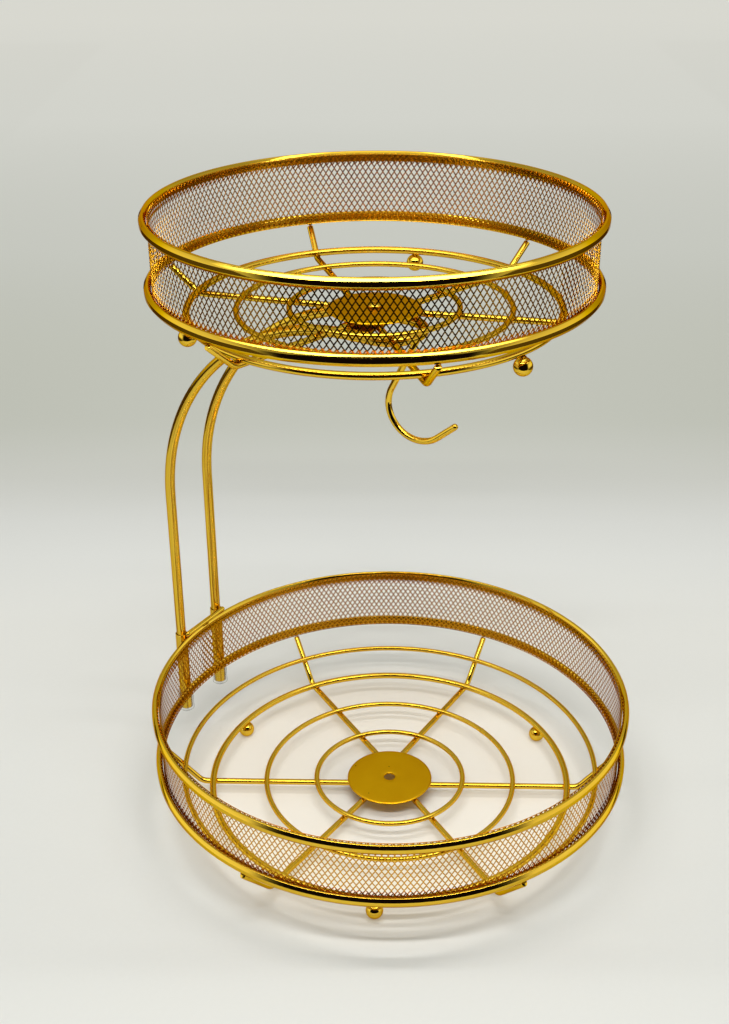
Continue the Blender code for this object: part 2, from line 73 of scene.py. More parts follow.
# Wires, balls and tubes of the frame
SPOKE_RADIUS = 0.0019
SPOKE_NOSE_RADIUS = 0.0060
SPOKE_BEND_RADIUS = 0.0080
FOOT_RADIUS = 0.0052
HALF_SPACING = 0.01905
TUBE_RADIUS = 0.003175
TUBE_WALL = 0.0006
ARM_BEND_RISE = 0.1353
ARM_LEVEL_RUN = 0.0165
HOOK_DROP = 0.0436
HOOK_RADIUS = 0.0197
HOOK_TIP_RISE = radians(40)
HOOK_TIP_LENGTH = 0.0160
RING_CORNER = cos(radians(30))

# Ends of a wire, cut and bevelled: how far along it, in radii, and how wide against the wire
CUT_ALONG = (0, 0.06, 0.2)
CUT_ACROSS = (0.84, 0.95, 1)

# Butt welds of the floor rings: where they are, where those that the photograph hides are, how far they swell
# and how far along the wire
BUTTS = {"lower_1": radians(-35.9), "lower_2": radians(-20.9), "upper_3": radians(128)}
HIDDEN_BUTT = radians(200)
BUTT_SWELL = 0.10
BUTT_LENGTH = 0.0011

# Discs: rolled edge, burr of the outer edge and of the hole, holes, and how far in the spokes are welded
EDGE_ROLL = 0.0016
DISC_BURR = 0.0004
HOLE_RADII = {"lower": 0.0035, "upper": 0.0023}
DISC_WELD_INSET = 0.0035

# Mesh walls: rows of half cells, how far the top edge stays under the frame's wall, and how far the strands'
# middle line stands proud, as a share of the sheet. Rows, height and shift of the folded hems' cells, their
# strands' width against a plain strand's, the depth of the inner layer in sheets, and the fold's radius and
# section. Span of the lapped seams and the shift of their second layer's cells. How far the holes' upper and
# lower corners are drawn in, in steps of the lattice, which widens the knots
MESH_ROWS = 15
EDGE_DROP = 0.0003
RIDGE_SHARE = 0.3
KNOT_SHARE = 0.1
HEM_ROWS = 3
HEM_STEP = 0.8
HEM_SHIFT = 0.7
HEM_STRANDS = 2.3
LAYER_DEPTH = 1.3
FOLD_DEPTH = 1.15
FOLD_SECTION = (2.3, 1.5)
SEAMS = {"lower": (radians(86), radians(93.5)), "upper": (radians(262), radians(270))}
SEAM_SHIFT = 0.45

# Shares of the painted shade at the mesh's points: outer knots, inner knots, outer strands and inner strands
INSIDE_SHADE_SHARES = (0.0, 0.2, 0.1, 0.9)

# Clear cups: wall, floor, height of the flare over the floor, and their edge breaks from small to large
CUP_WALL = 0.0008
CUP_FLOOR = 0.0012
CUP_FLARE_RISE = 0.003
CUP_BREAK = 0.0002
CUP_LIP = 0.0003
CUP_CORNER = 0.0004

# The cups' plastic: length and height of its ripples, how far the eye skims along its wall where the wall
# begins to show and where it shows fully, and how much of the wall is seen at both
CUP_RIPPLE = (0.002, 0.00005)
CUP_SKIM = (0.35, 0.8)
CUP_SEEN = (0.03, 0.95)

# Cross plate: bevel, hole and corner radius, and how far its weld spots are from its middle line
PLATE_BEVEL = 0.0004
PLATE_HOLE = 0.0023
PLATE_CORNER = 0.003
PLATE_WELDS = (-0.009, 0.009)

# Screw: height of its head and of the head's lip, edge break, shank, point, pitch and depth of its thread.
# Its cross recess: half width and length of an arm, the slope at their edges, and depth
HEAD_HEIGHT = 0.0025
HEAD_LIP = 0.0006
HEAD_BREAK = 0.0002
SHANK_RADIUS = 0.00195
POINT_RADIUS = 0.0012
THREAD_PITCH = 0.0007
THREAD_DEPTH = 0.00022
RECESS_ARM = (0.00055, 0.0021)
RECESS_SLOPE = (0.0002, 0.0003)
RECESS_DEPTH = 0.0013

# Half sizes of the weld beads: wires, ball feet, sleeves to rims, sleeves' rod, tubes to plate, tube to hook
WIRE_BEAD = (0.0013, 0.0013, 0.0006)
FOOT_BEAD = (0.0018, 0.0018, 0.0009)
SLEEVE_BEAD = (0.0014, 0.0012, 0.0026)
ROD_BEAD = (0.0022, 0.0012, 0.0006)
PLATE_BEAD = (0.0012, 0.0014, 0.0007)
HOOK_BEAD = (0.0023, 0.0023, 0.0008)
ROD_BEAD_PLACE = (0, -0.0006, -0.00185)
HOOK_BEAD_PLACE = (0, 0.0013, 0.0001)

# Stains on the sleeves under the rod (share of their distance apart, drop from the top), and places along the
# rod of its own stains and how far round it the first lies
ROD_STAINS = (0.94, 0.001)
ROD_MIDDLE, ROD_END = -0.0005, 0.0165
ROD_ROUND = 0.7

# Reach of the heat-stained plating round a weld, a spot so far off that it stains nothing, and the length
# over which a draw mark stays the same
WELD_REACH = 0.0016
NO_WELD = [(0, 9, 9)]
MARK_LENGTH = 0.200

# Plating: draw streaks to a wire's radius, spacing and radius of its pits, width of its patches and of its
# specks, the tint that it takes on where the eye skims along it, the roughness of a heat stain, and the tone
# of the painted shade on the mesh's inside faces
STREAK_SCALE = 2.2
PIT_SPACING = 0.014
PIT_RADIUS = 0.00055
PATCH_LENGTH = 0.025
SPECK_LENGTH = 0.0009
SKIM_TINT = (0.60, 0.34, 0.06, 1)
STAIN_ROUGHNESS = (0.45, 0.45, 0.45, 1)
INSIDE_SHADE_TONE = "#80480A"

# What the two baskets have of their own: body, turn, count of rings, slope of the spokes' ends, the noses of
# the three V-shaped spokes with their openings and turns, columns of mesh cells, and how strongly the mesh's
# inside faces take their painted shade. Angles are set one by one, as on the real stand
Basket = namedtuple("Basket", "name body turn rings rise corners openings turns columns brown")
LOWER = Basket("lower", "lower_basket", radians(-90), 4, radians(48), (0.0083, 0.0133, 0.0061),
               (radians(59.6), radians(60.4), radians(57.1)),
               (radians(0.5), radians(1.0), radians(-1.1)), 258, 1.0)
UPPER = Basket("upper", "upper_basket", radians(77.8), 3, radians(42), (0.0111, 0.0086, 0.0090),
               (radians(57.5), radians(60.0), radians(55.8)),
               (radians(-0.9), 0.0, radians(-0.2)), 216, 0.2)
BASKETS = (LOWER, UPPER)

# Camera, from a fit to the photograph: place in the frame of the view, angles and focal length in pixels
VIEW_TURN = radians(-58.5)
CAMERA_PLACE = (-0.00749, -0.73582, 0.59237)
CAMERA_PITCH = radians(-27.58)
CAMERA_YAW = radians(-0.62)
CAMERA_ROLL = radians(-0.34)
FOCAL_PIXELS = 1399.68
PICTURE_WIDTH = 729
VIEW_RIGHT = (cos(VIEW_TURN), sin(VIEW_TURN), 0)
VIEW_AHEAD = (-sin(VIEW_TURN), cos(VIEW_TURN), 0)

# Studio, in the frame of the view: half size of the paper, how bright the tent is to the camera, the tent's
# dark opening (half width, middle, ahead, top) with the distances over which it fades, and the unlit floor at
# both sides (from, to). Metal alone mirrors the opening and the unlit floor
PAPER_REACH = 60.0
TENT_SEEN = 0.75
OPENING = (1.20, 0.06, -0.62, 1.06)
OPENING_FADE = (0.55, 1.15)
OPENING_TONE = "#120C0A"
OPENING_FOOT = 0.001
UNLIT_FLOOR = (0.70, 3.0)
UNLIT_TONE = "#5A4E36"
UNLIT_HEIGHT = 0.002
UNLIT_FADE = (3.0, 6.0)

# The two lamps (name, how far behind, watts), and what metal mirrors of them: a strip bowed round the stand
# in front and a fainter one over it (name, how far behind, bow, half width, strength)
LAMPS = (("front_lamp", -0.55, 6.8), ("middle_lamp", -0.05, 4.3))
LAMP_SIZE = (0.8, 0.04)
LAMP_HEIGHT = 1.08
LAMP_RISE = 0.01
STRIPS = (("front_strip", -0.597, 0.44, 0.07, 15.0), ("middle_strip", -0.10, 0.0, 0.05, 5.0))
STRIP_REACH = 1.25
STRIP_FADE = (0.30, 1.15)

# Tent: its tone, its tone where the camera sees it over the paper's far edge, and extra light from both
# sides. Each of its steps goes over a range of height, or of the square of the share to the side, from one
# strength to another: its light; then what metal mirrors, backdrop times beyond, plus side wall and overhead
TENT_TONE = "#F4F5F2"
TENT_SEEN_TONE = "#F6F6EC"
TENT_SIDE_LIGHT = 0.25
TENT_STEPS = {"light": ("height", 0.35, 1.0, 0.23, 0.47), "backdrop": ("height", 0.30, 0.55, 0.86, 0.55),
              "beyond": ("side", 0.06, 0.30, 1.0, 0.78), "side_wall": ("side", 0.50, 0.75, 0.0, 0.55),
              "overhead": ("height", 0.72, 0.98, 0.0, 0.75)}

# Paper: length and shade of its grain, its own tone by distance behind the middle, painted light and shade
# that even out the lamps' fall-off, its own tone under the baskets, a painted golden light that stands for
# light bounced from the gold, and how far that reaches, the strength of the own tone, the share of it that
# shows, and how far from the disc that share starts and is full
PAPER_GRAIN = 0.003
GRAIN_SHADE = (0.985, 1.015)
PAPER_TONES = ((-3.37, "#F4F3E9"), (-1.2, "#C4C7BC"), (-0.5, "#B4B6AE"), (-0.15, "#898B85"), (0, "#A1A39D"),
               (0.2, "#B4B4AC"), (0.31, "#B5B7B3"), (0.38, "#ACAEAA"), (0.46, "#94968C"), (0.6, "#898E7A"),
               (0.81, "#A2A694"), (1.2, "#C4C7BC"), (2.06, "#E7E8DF"), (3.37, "#F4F3E9"))
PAPER_FROM, PAPER_TO = -4.0, 4.0
PAINTED_BOUNCE_TONE = "#CDC1AC"
BOUNCE_FROM, BOUNCE_TO = 0.10, 0.16
OWN_TONE_STRENGTH = 2.0
OWN_TONE_SHARE = 0.25
OWN_TONE_FROM, OWN_TONE_TO = 0.020, 0.060

# Settings that many nodes share
SMOOTH = {"interpolation_type": "SMOOTHSTEP"}


class StandSizes(bpy.types.PropertyGroup):
    """Sizes of the stock that the stand is made of."""

    rim_width: FloatProperty(name="Rim width", description="Width of the rolled rim wire", default=0.0040,
                             unit="LENGTH")
    rim_height: FloatProperty(name="Rim height", description="Height of the rolled rim wire", default=0.0063,
                              unit="LENGTH")
    ring_wire: FloatProperty(name="Ring wire", description="Diameter of the floor rings' wire",
                             default=0.0033, unit="LENGTH")
    foot_ring_wire: FloatProperty(name="Foot ring wire", description="Diameter of the ring over the feet",
                                  default=0.0042, unit="LENGTH")
    hook_wire: FloatProperty(name="Hook wire", description="Diameter of the banana hook's wire",
                             default=0.0038, unit="LENGTH")
    strand: FloatProperty(name="Strand", description="Width of one strand of the expanded metal",
                          default=0.00054, unit="LENGTH")
    mesh_sheet: FloatProperty(name="Mesh sheet", description="Thickness of the expanded metal",
                              default=0.00026, unit="LENGTH")
    ripple: FloatProperty(name="Ripple", description="Length of the plating's shallow ripples", default=0.008,
                          unit="LENGTH")


class StandColours(bpy.types.PropertyGroup):
    """Colours of the stand's finishes and of the paper that it stands on, linear."""

    plate: FloatVectorProperty(name="Plate", description="Bright gold plate", subtype="COLOR", size=3,
                               default=(0.82, 0.56, 0.060), min=0, max=1)
    plate_deep: FloatVectorProperty(name="Deep plate", description="Thicker, redder gold plate",
                                    subtype="COLOR", size=3, default=(0.77, 0.46, 0.030), min=0, max=1)
    paper: FloatVectorProperty(name="Paper", description="Paper under the stand", subtype="COLOR", size=3,
                               default=(0.80, 0.80, 0.76), min=0, max=1)


def linear(code):
    """Linear red, green, blue and alpha of an sRGB hex colour."""
    value = np.array([int(code[i:i + 2], 16) for i in (1, 3, 5)]) / 255
    low = value / 12.92
    high = ((value + 0.055) / 1.055) ** 2.4
    return (*np.where(value <= 0.04045, low, high).tolist(), 1.0)


def middle(node):
    """Middle of a node's box."""
    low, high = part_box(node)
    return np.array((low + high) / 2)


def reach(node):
    """Largest distance of a round node's surface from its own upright axis."""
    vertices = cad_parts[node].data.vertices
    points = np.empty(3 * len(vertices))
    vertices.foreach_get("co", points)
    away = points.reshape(-1, 3)[:, :2] - middle(node)[:2]
    return float(np.hypot(*away.T).max())


def unit(vectors):
    """Vectors over their length."""
    return vectors / np.linalg.norm(vectors, axis=-1, keepdims=True)


def turned(points, angle):
    """Points turned about Z."""
    x, y, z = np.moveaxis(np.asarray(points, float), -1, 0)
    return np.stack([x * cos(angle) - y * sin(angle), x * sin(angle) + y * cos(angle), z], -1)


def oval(width, height, steps):
    """An ellipse: half the width times the cosine and half the height times the sine of an angle."""
    angle = np.arange(steps) * 2 * pi / steps
    return np.stack([width / 2 * np.cos(angle), height / 2 * np.sin(angle)], -1)


def ring_path(radius, steps):
    """A circle about Z, with the outward direction at each of its points."""
    angle = np.arange(steps) * 2 * pi / steps
    side = np.stack([np.cos(angle), np.sin(angle), 0 * angle], -1)
    return radius * side, side


def swept(path, side, section, ring=False):
    """A section carried along a path: its first number goes along side, its second along side x tangent."""
    ahead = np.roll(path, -1, 0) - np.roll(path, 1, 0) if ring else np.gradient(path, axis=0)
    tangent = unit(ahead)
    side = unit(side - (side * tangent).sum(-1, keepdims=True) * tangent)
    up = np.cross(side, tangent)
    section = np.broadcast_to(section, (len(path), *section.shape[-2:]))
    return path[:, None] + section[..., :1] * side[:, None] + section[..., 1:] * up[:, None]


def ended(path, radius, first, last):
    """A path with extra points near both ends, and each point's scale: ends are cut and bevelled, or round.

    A round end follows a quarter circle: one less the sine of an angle along the wire, its cosine across.
    """
    angle = np.radians([80, 62, 44, 26, 10])
    forms = {"cut": (np.array(CUT_ALONG), np.array(CUT_ACROSS)), "round": (1 - np.sin(angle), np.cos(angle))}
    start, start_scale = forms[first]
    stop, stop_scale = forms[last]
    inward = unit(path[1] - path[0])
    back = unit(path[-2] - path[-1])
    points = np.concatenate([path[0] + start[:, None] * radius * inward, path[1:-1],
                             (path[-1] + stop[:, None] * radius * back)[::-1]])
    scale = np.concatenate([start_scale, np.ones(len(path) - 2), stop_scale[::-1]])
    return points, scale[:, None, None]


def round_wire(path, side, radius, first, last):
    """A circle carried along a path, with both its ends cut or round; one side serves all of the path."""
    path, scale = ended(path, radius, first, last)
    side = np.broadcast_to(np.array(side, float), path.shape)
    return swept(path, side, oval(2 * radius, 2 * radius, 20) * scale)


def revolved(profile, steps, node=None, low=0):
    """A (radius, height) profile turned about Z or a node's axis: radius times an angle's cosine and sine."""
    angle = np.arange(steps) * 2 * pi / steps
    radius = profile[:, :1]
    height = np.broadcast_to(profile[:, 1:], (len(profile), steps))
    rows = np.stack([radius * np.cos(angle), radius * np.sin(angle), height], -1)
    return rows + np.array([*middle(node)[:2], low]) if node else rows


def arc_path(corners, radii, steps):
    """Straight runs between corners, each inner corner an arc that touches both runs.

    An arc's points are its two radii mixed by the sines of the angles to its two ends.
    """
    corners = np.asarray(corners, float)
    parts = [corners[:1]]
    for before, corner, after, radius in zip(corners, corners[1:], corners[2:], radii):
        back = unit(before - corner)
        ahead = unit(after - corner)
        half = np.arccos(back @ ahead) / 2
        centre = corner + unit(back + ahead) * radius / sin(half)
        start = corner + back * radius / tan(half) - centre
        stop = corner + ahead * radius / tan(half) - centre
        total = pi - 2 * half
        share = np.linspace(0, 1, steps + 1)[:, None]
        mixed = np.sin((1 - share) * total) * start + np.sin(share * total) * stop
        parts.append(centre + mixed / sin(total))
    parts.append(corners[-1:])
    return np.concatenate(parts)


def shell(rows, ring=False):
    """Points and faces over rows of points, each row a closed loop.

    The last row joins the first, or both ends are closed by a fan about their middle.
    """
    count, around = rows.shape[:2]
    i, j = np.meshgrid(np.arange(count if ring else count - 1), np.arange(around), indexing="ij")
    near, far = i * around, (i + 1) % count * around
    beside = (j + 1) % around
    faces = [np.stack([near + j, near + beside, far + beside, far + j], -1).reshape(-1, 4)]
    points = rows.reshape(-1, 3)
    if not ring:
        j = np.arange(around)
        beside = (j + 1) % around
        base = (count - 1) * around
        first = np.full(around, len(points))
        points = np.concatenate([points, rows[:1].mean(1), rows[-1:].mean(1)])
        faces.append(np.stack([first, beside, j], -1))
        faces.append(np.stack([first + 1, base + j, base + beside], -1))
    return points, faces


def spheroids(places, sizes, across=10, rows=6):
    """Low-faced ellipsoids at places: sines and cosines of longitude and latitude times three half sizes."""
    latitude = np.linspace(-pi / 2, pi / 2, rows + 1)[1:-1, None]
    longitude = np.arange(across) * 2 * pi / across
    ball = np.stack([np.cos(latitude) * np.cos(longitude), np.cos(latitude) * np.sin(longitude),
                     np.broadcast_to(np.sin(latitude), (rows - 1, across))], -1)
    points, faces = shell(ball)
    points = points.copy()
    points[-2:] = ((0, 0, -1), (0, 0, 1))
    places = np.asarray(places, float).reshape(-1, 3)
    sizes = np.broadcast_to(sizes, places.shape)
    all_points = (places[:, None] + points * sizes[:, None]).reshape(-1, 3)
    shift = np.arange(len(places))[:, None, None] * len(points)
    return all_points, [(face[None] + shift).reshape(-1, face.shape[1]) for face in faces]


def expanded_sheet(wall, columns, rows, low, half_height, phase=0.0, span=None):
    """A band of expanded metal on a cylinder: diamond cells in a staggered lattice.

    A cell's middle lies at half-column k and half-row j where k + j is odd; its corners are one step away in
    each direction. Its hole is the same diamond made smaller, so each strand is left along the cells' edges.
    A strand is thickest on its middle line, and stands proud there on both faces. With its points and faces
    come the points' shares of the painted shade on the inside.
    """
    outer, inner, strand = wall
    around = 2 * columns
    j, k = (index.ravel() for index in np.meshgrid(np.arange(1, rows), np.arange(around), indexing="ij"))
    keep = (k + j) % 2 == 1
    if span:
        angle = (k + phase) * pi / columns % (2 * pi)
        keep &= (angle > span[0]) & (angle < span[1])
    j, k = j[keep], k[keep]
    half_column = pi * outer / columns
    across = half_height / sqrt(half_height ** 2 + half_column ** 2) * half_column
    share = 1 - strand / 2 / across
    ridge = (outer - inner) * RIDGE_SHARE

    def place(column, row, radius):
        angle = (column + phase) * pi / columns
        height = low + row * half_height + 0 * angle
        return np.stack([radius * np.cos(angle), radius * np.sin(angle), height], -1)

    ids = np.stack([j * around + (k + 1) % around, (j + 1) * around + k,
                    j * around + (k - 1) % around, (j - 1) * around + k], -1)
    used, corner = np.unique(ids, return_inverse=True)
    corner = corner.reshape(ids.shape)
    lattice_row, lattice_column = np.divmod(used, around)
    step = np.array([(share, 0), (0, share - KNOT_SHARE), (-share, 0), (0, KNOT_SHARE - share)])
    hole_column = k[:, None] + step[:, 0]
    hole_row = j[:, None] + step[:, 1]
    layers = [place(lattice_column, lattice_row, outer), place(lattice_column, lattice_row, inner),
              place(hole_column, hole_row, outer - ridge).reshape(-1, 3),
              place(hole_column, hole_row, inner + ridge).reshape(-1, 3)]
    base = np.cumsum([0] + [len(layer) for layer in layers])
    hole = np.arange(corner.size).reshape(corner.shape)
    front, back = corner + base[0], corner + base[1]
    front_hole, back_hole = hole + base[2], hole + base[3]

    def after(index):
        return np.roll(index, -1, 1)

    quads = [np.stack(corners, -1).reshape(-1, 4) for corners in (
        (front, after(front), after(front_hole), front_hole),
        (back, back_hole, after(back_hole), after(back)),
        (front_hole, after(front_hole), after(back_hole), back_hole))]
    start, stop = corner.ravel(), after(corner).ravel()
    many = len(used)
    free = ~np.isin(start * many + stop, stop * many + start)
    start, stop = start[free], stop[free]
    quads.append(np.stack([stop + base[0], start + base[0], start + base[1], stop + base[1]], -1))
    return np.concatenate(layers), quads, np.repeat(INSIDE_SHADE_SHARES, [len(layer) for layer in layers])


def drawn(rows):
    """Direction round a wire and distance along it for each point of its rows: marks run lengthwise."""
    count, around = rows.shape[:2]
    angle = np.broadcast_to(np.arange(around) * 2 * pi / around, (count, around))
    steps = np.linalg.norm(np.diff(rows.mean(1), axis=0), axis=1)
    along = np.broadcast_to(np.concatenate([[0], np.cumsum(steps)])[:, None], (count, around))
    marks = np.stack([np.cos(angle), np.sin(angle), along / MARK_LENGTH], -1).reshape(-1, 3)
    return np.concatenate([marks, marks[:1], marks[-1:]])


def add_piece(name, parts, kind, body, nodes, welds=None, flat_from=40, marks=None, inside=None):
    """One mesh object from several (points, faces) parts, turned round if their volume comes out negative.

    Its weld attribute fades from the weld points, and its draw and inside attributes are given.
    """
    points, faces, count = [], [], 0
    for part_points, part_faces in parts:
        points.append(part_points)
        faces += [face + count for face in part_faces]
        count += len(part_points)
    points = np.concatenate(points)
    volume = 0.0
    for face in faces:
        corners = points[face]
        for i in range(1, face.shape[1] - 1):
            volume += np.einsum("ij,ij->", corners[:, 0], np.cross(corners[:, i], corners[:, i + 1]))
    if volume < 0:
        faces = [face[:, ::-1] for face in faces]
    mesh = bpy.data.meshes.new(name)
    mesh.from_pydata(points.tolist(), [], [corner for face in faces for corner in face.tolist()])
    mesh.shade_smooth()
    mesh.set_sharp_from_angle(angle=radians(flat_from))
    heat = None
    if welds is not None:
        nearest = np.full(len(points), 1.0)
        for spot in np.asarray(welds, float).reshape(-1, 3):
            nearest = np.minimum(nearest, np.linalg.norm(points - spot, axis=1))
        heat = np.exp(-(nearest / WELD_REACH) ** 2)
    for key, form, field, values in (("weld", "FLOAT", "value", heat), ("inside", "FLOAT", "value", inside),
                                     ("draw", "FLOAT_VECTOR", "vector", marks)):
        if values is not None:
            data = mesh.attributes.new(key, form, "POINT").data
            data.foreach_set(field, values[:len(points)].astype(np.float32).ravel())
    mesh.materials.append(finish(kind))
    piece = bpy.data.objects.new(name, mesh)
    bpy.context.scene.collection.objects.link(piece)
    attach(piece, body)
    if nodes:
        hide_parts(*nodes)


def add_wire(name, rows, body, node, welds, ring=False, kind="wire"):
    """A piece from the rows of a wire or tube, with its draw marks."""
    add_piece(name, [shell(rows, ring)], kind, body, [node], welds, marks=drawn(rows))


def basket_axis(basket):
    """Place of a basket's axis at the height of its spokes' middle."""
    axis = middle(f"{basket.name}_top_rim")
    axis[2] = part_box(f"{basket.name}_disc")[0].z - GAP - SPOKE_RADIUS
    return axis


def rim_radius(basket, sizes):
    """Radius of the middle of both rims."""
    return reach(f"{basket.name}_top_rim") - sizes.rim_width / 2


def ring_size(basket, number, sizes):
    """Radius, height and wire of a floor ring; the frame's ring has a flat side outwards."""
    node = f"{basket.name}_ring_{number}"
    wire = sizes.foot_ring_wire if number == 3 else sizes.ring_wire
    return reach(node) - wire / 2 * RING_CORNER, middle(node)[2], wire


def spoke_lines(basket):
    """Each wire's turn, corner and the directions of its two legs, about the basket's own axis."""
    lines = []
    for i, (corner, opening, turn) in enumerate(zip(basket.corners, basket.openings, basket.turns)):
        angle = basket.turn + 2 * pi * i / 3 + turn
        for side in (-1, 1):
            way = angle + side * opening / 2
            lines.append((np.array([corner * cos(angle), corner * sin(angle), 0]),
                          np.array([cos(way), sin(way), 0])))
    return lines


def reach_along(corner, way, radius):
    """Distance along a leg at which it is that far from the basket's axis."""
    along = corner @ way
    return sqrt(radius ** 2 - corner @ corner + along ** 2) - along


def spoke_bend(basket, sizes):
    """Radius at which the spokes turn up, and the height of their ends."""
    axis = basket_axis(basket)
    rise = middle(f"{basket.name}_bottom_rim")[2] - axis[2] - sizes.rim_height / 2 - GAP
    rise -= SPOKE_RADIUS * cos(basket.rise)
    return rim_radius(basket, sizes) - rise / tan(basket.rise), rise


def weld_places(basket, sizes):
    """Where wires cross: rings on spokes, spokes' ends under the rim, and the disc's edge on the spokes."""
    axis = basket_axis(basket)
    bend, rise = spoke_bend(basket, sizes)
    places = {"ring": [], "rim": [], "disc": []}
    for corner, way in spoke_lines(basket):
        for number in range(1, basket.rings + 1):
            radius, height, wire = ring_size(basket, number, sizes)
            point = axis + corner + way * reach_along(corner, way, min(radius, bend))
            point[2] = height - wire / 2 - GAP / 2
            if radius > bend:
                point += way * (radius - bend)
                back = (wire / 2 + GAP / 2) * sin(basket.rise)
                point += way * back
                point[2] = height - (wire / 2 + GAP / 2) * cos(basket.rise)
            places["ring"].append(point)
        end = axis + corner + way * (reach_along(corner, way, bend) + rise / tan(basket.rise))
        end[2] += rise + SPOKE_RADIUS * cos(basket.rise) + GAP / 2
        places["rim"].append(end)
        edge = reach(f"{basket.name}_disc") - DISC_WELD_INSET
        disc = axis + corner + way * reach_along(corner, way, edge)
        disc[2] += SPOKE_RADIUS + GAP / 2
        places["disc"].append(disc)
    return places


def arm_tops():
    """On the middle line of the arm's tube: y of its legs, y of its front and height of its level part."""
    low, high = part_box("arm_tube")
    return middle("sleeve_left")[1], low.y + TUBE_RADIUS, high.z - TUBE_RADIUS


def plate_spots(height):
    """Where the cross plate is welded to the tubes."""
    y = middle("arm_plate")[1]
    return [(x, y + step, height) for x in (-HALF_SPACING, HALF_SPACING) for step in PLATE_WELDS]


def set_inputs(tree, node, inputs):
    """Inputs by name or in order: each is set, or linked to a socket or to a node's first output."""
    for name, value in inputs.items() if isinstance(inputs, dict) else enumerate(inputs):
        if isinstance(value, bpy.types.Node):
            value = value.outputs[0]
        if isinstance(value, bpy.types.NodeSocket):
            tree.links.new(value, node.inputs[name])
        else:
            node.inputs[name].default_value = value


def add_node(tree, kind, settings=None, inputs=()):
    """A node with its settings and its inputs."""
    made = tree.nodes.new("ShaderNode" + kind)
    for name, value in (settings or {}).items():
        setattr(made, name, value)
    set_inputs(tree, made, inputs)
    return made


def new_finish(name, inputs):
    """A material with its shader's own values set; returns it with its tree and shader."""
    material = bpy.data.materials.new(name)
    material.use_nodes = True
    tree = material.node_tree
    shader = tree.nodes["Principled BSDF"]
    set_inputs(tree, shader, inputs)
    return material, tree, shader


# Gold plates: name, pale and deep tone where they aren't the stand's own, roughness, ripples' length in the
# stand's ripple lengths, their height, and the strength of weld stains and of draw streaks
PLATES = {
    # Bright gold electroplate on drawn steel wire: a near-mirror, so light and dark lines run along the wire
    "wire": ("bright_gold_plated_drawn_wire", (), 0.05, 1.0, 0.000005, 0.75, 0.12),
    # Bright gold electroplate on welded steel tube: a mirror like the wire's, a little rounder in its glints
    "tube": ("bright_gold_plated_welded_tube", (), 0.08, 2.0, 0.00001, 0.75, 0.6),
    # Satin gold plate on stamped steel sheet: fine tumbling marks blur what it mirrors
    "sheet": ("satin_gold_plated_stamped_sheet", ("#F0BC1A", "#DA9E12"), 0.30, 1.25, 0.00001, 0.5, 0.0),
    # Gold plate on slit and stretched steel sheet: torn strand edges, and a painted brown shade on its inside
    # faces
    "mesh": ("gold_plated_expanded_sheet", ("#ECB42A", "#BC8414"), 0.16, 0.375, 0.000005, 0.4, 0.0),
    # Gold-plated cold-headed screw and nut: small flats and threads that glint
    "screw": ("gold_plated_headed_screw", (), 0.14, 0.1, 0.00002, 0.3, 0.0),
    # Plated-over spot weld: a lumpy bead, browner and duller than the wires it joins
    "weld": ("plated_over_spot_weld", ("#B88414", "#6E4208"), 0.25, 0.075, 0.00008, 0.5, 0.0),
}


def plated(kind):
    """Gold plate: patches of paler and deeper gold, shallow ripples, and heat stains at welds.

    Where the steel under it was drawn, thin darker streaks run along it. Here and there it has a dark pit.
    """
    colours, sizes = bpy.context.scene.stand_colours, bpy.context.scene.stand_sizes
    name, tones, rough, ripples, ripple_height, stain, streak = PLATES[kind]
    pale, deep = map(linear, tones) if tones else ((*colours.plate, 1), (*colours.plate_deep, 1))
    material, tree, shader = new_finish(name, {"Metallic": 1.0, "Specular Tint": SKIM_TINT})
    where = add_node(tree, "TexCoord").outputs["Object"]
    patch, speck, ripple = (
        add_node(tree, "TexNoise", None, {"Vector": where, "Scale": 1 / length, "Detail": detail})
        for length, detail in ((PATCH_LENGTH, 3.0), (SPECK_LENGTH, 2.0), (ripples * sizes.ripple, 1.0)))
    marks = add_node(tree, "Attribute", {"attribute_name": "draw"}).outputs["Vector"]
    lines = add_node(tree, "TexNoise", None, {"Vector": marks, "Scale": STREAK_SCALE, "Detail": 2.0,
                                              "Roughness": 0.6})
    grit = add_node(tree, "TexVoronoi", None, {"Vector": where, "Scale": 1 / PIT_SPACING})
    weld = add_node(tree, "Attribute", {"attribute_name": "weld"}).outputs["Fac"]
    pit = PIT_RADIUS / PIT_SPACING
    gold = add_node(tree, "MixRGB", None, (patch, pale, deep))
    # Streaks, pits and stains: what each follows, from where to where, its share at both ends, and its tone
    for span, tone in (((lines, 0.50, 0.68, 0.0, streak), "#7A3E04"),
                       ((grit, 0.5 * pit, pit, 1.0, 0.0), "#2A1402"),
                       ((weld, 0.35, 0.95, 0.0, stain), "#4A2408")):
        share = add_node(tree, "MapRange", SMOOTH, span)
        gold = add_node(tree, "MixRGB", None, (share, gold, linear(tone)))
    base = add_node(tree, "MapRange", None, (speck, 0.35, 0.75, rough, rough * 1.25))
    blunt = add_node(tree, "MixRGB", None, (share, base, STAIN_ROUGHNESS))
    bump = add_node(tree, "Bump", None, {"Strength": 1.0, "Distance": ripple_height, "Height": ripple})
    # Painted shade: the mesh's inside faces are mixed towards a brown tone
    if kind == "mesh":
        inside = add_node(tree, "Attribute", {"attribute_name": "inside"}).outputs["Fac"]
        gold = add_node(tree, "MixRGB", None, (inside, gold, linear(INSIDE_SHADE_TONE)))
    set_inputs(tree, shader, {"Base Color": gold, "Roughness": blunt, "Normal": bump})
    return material


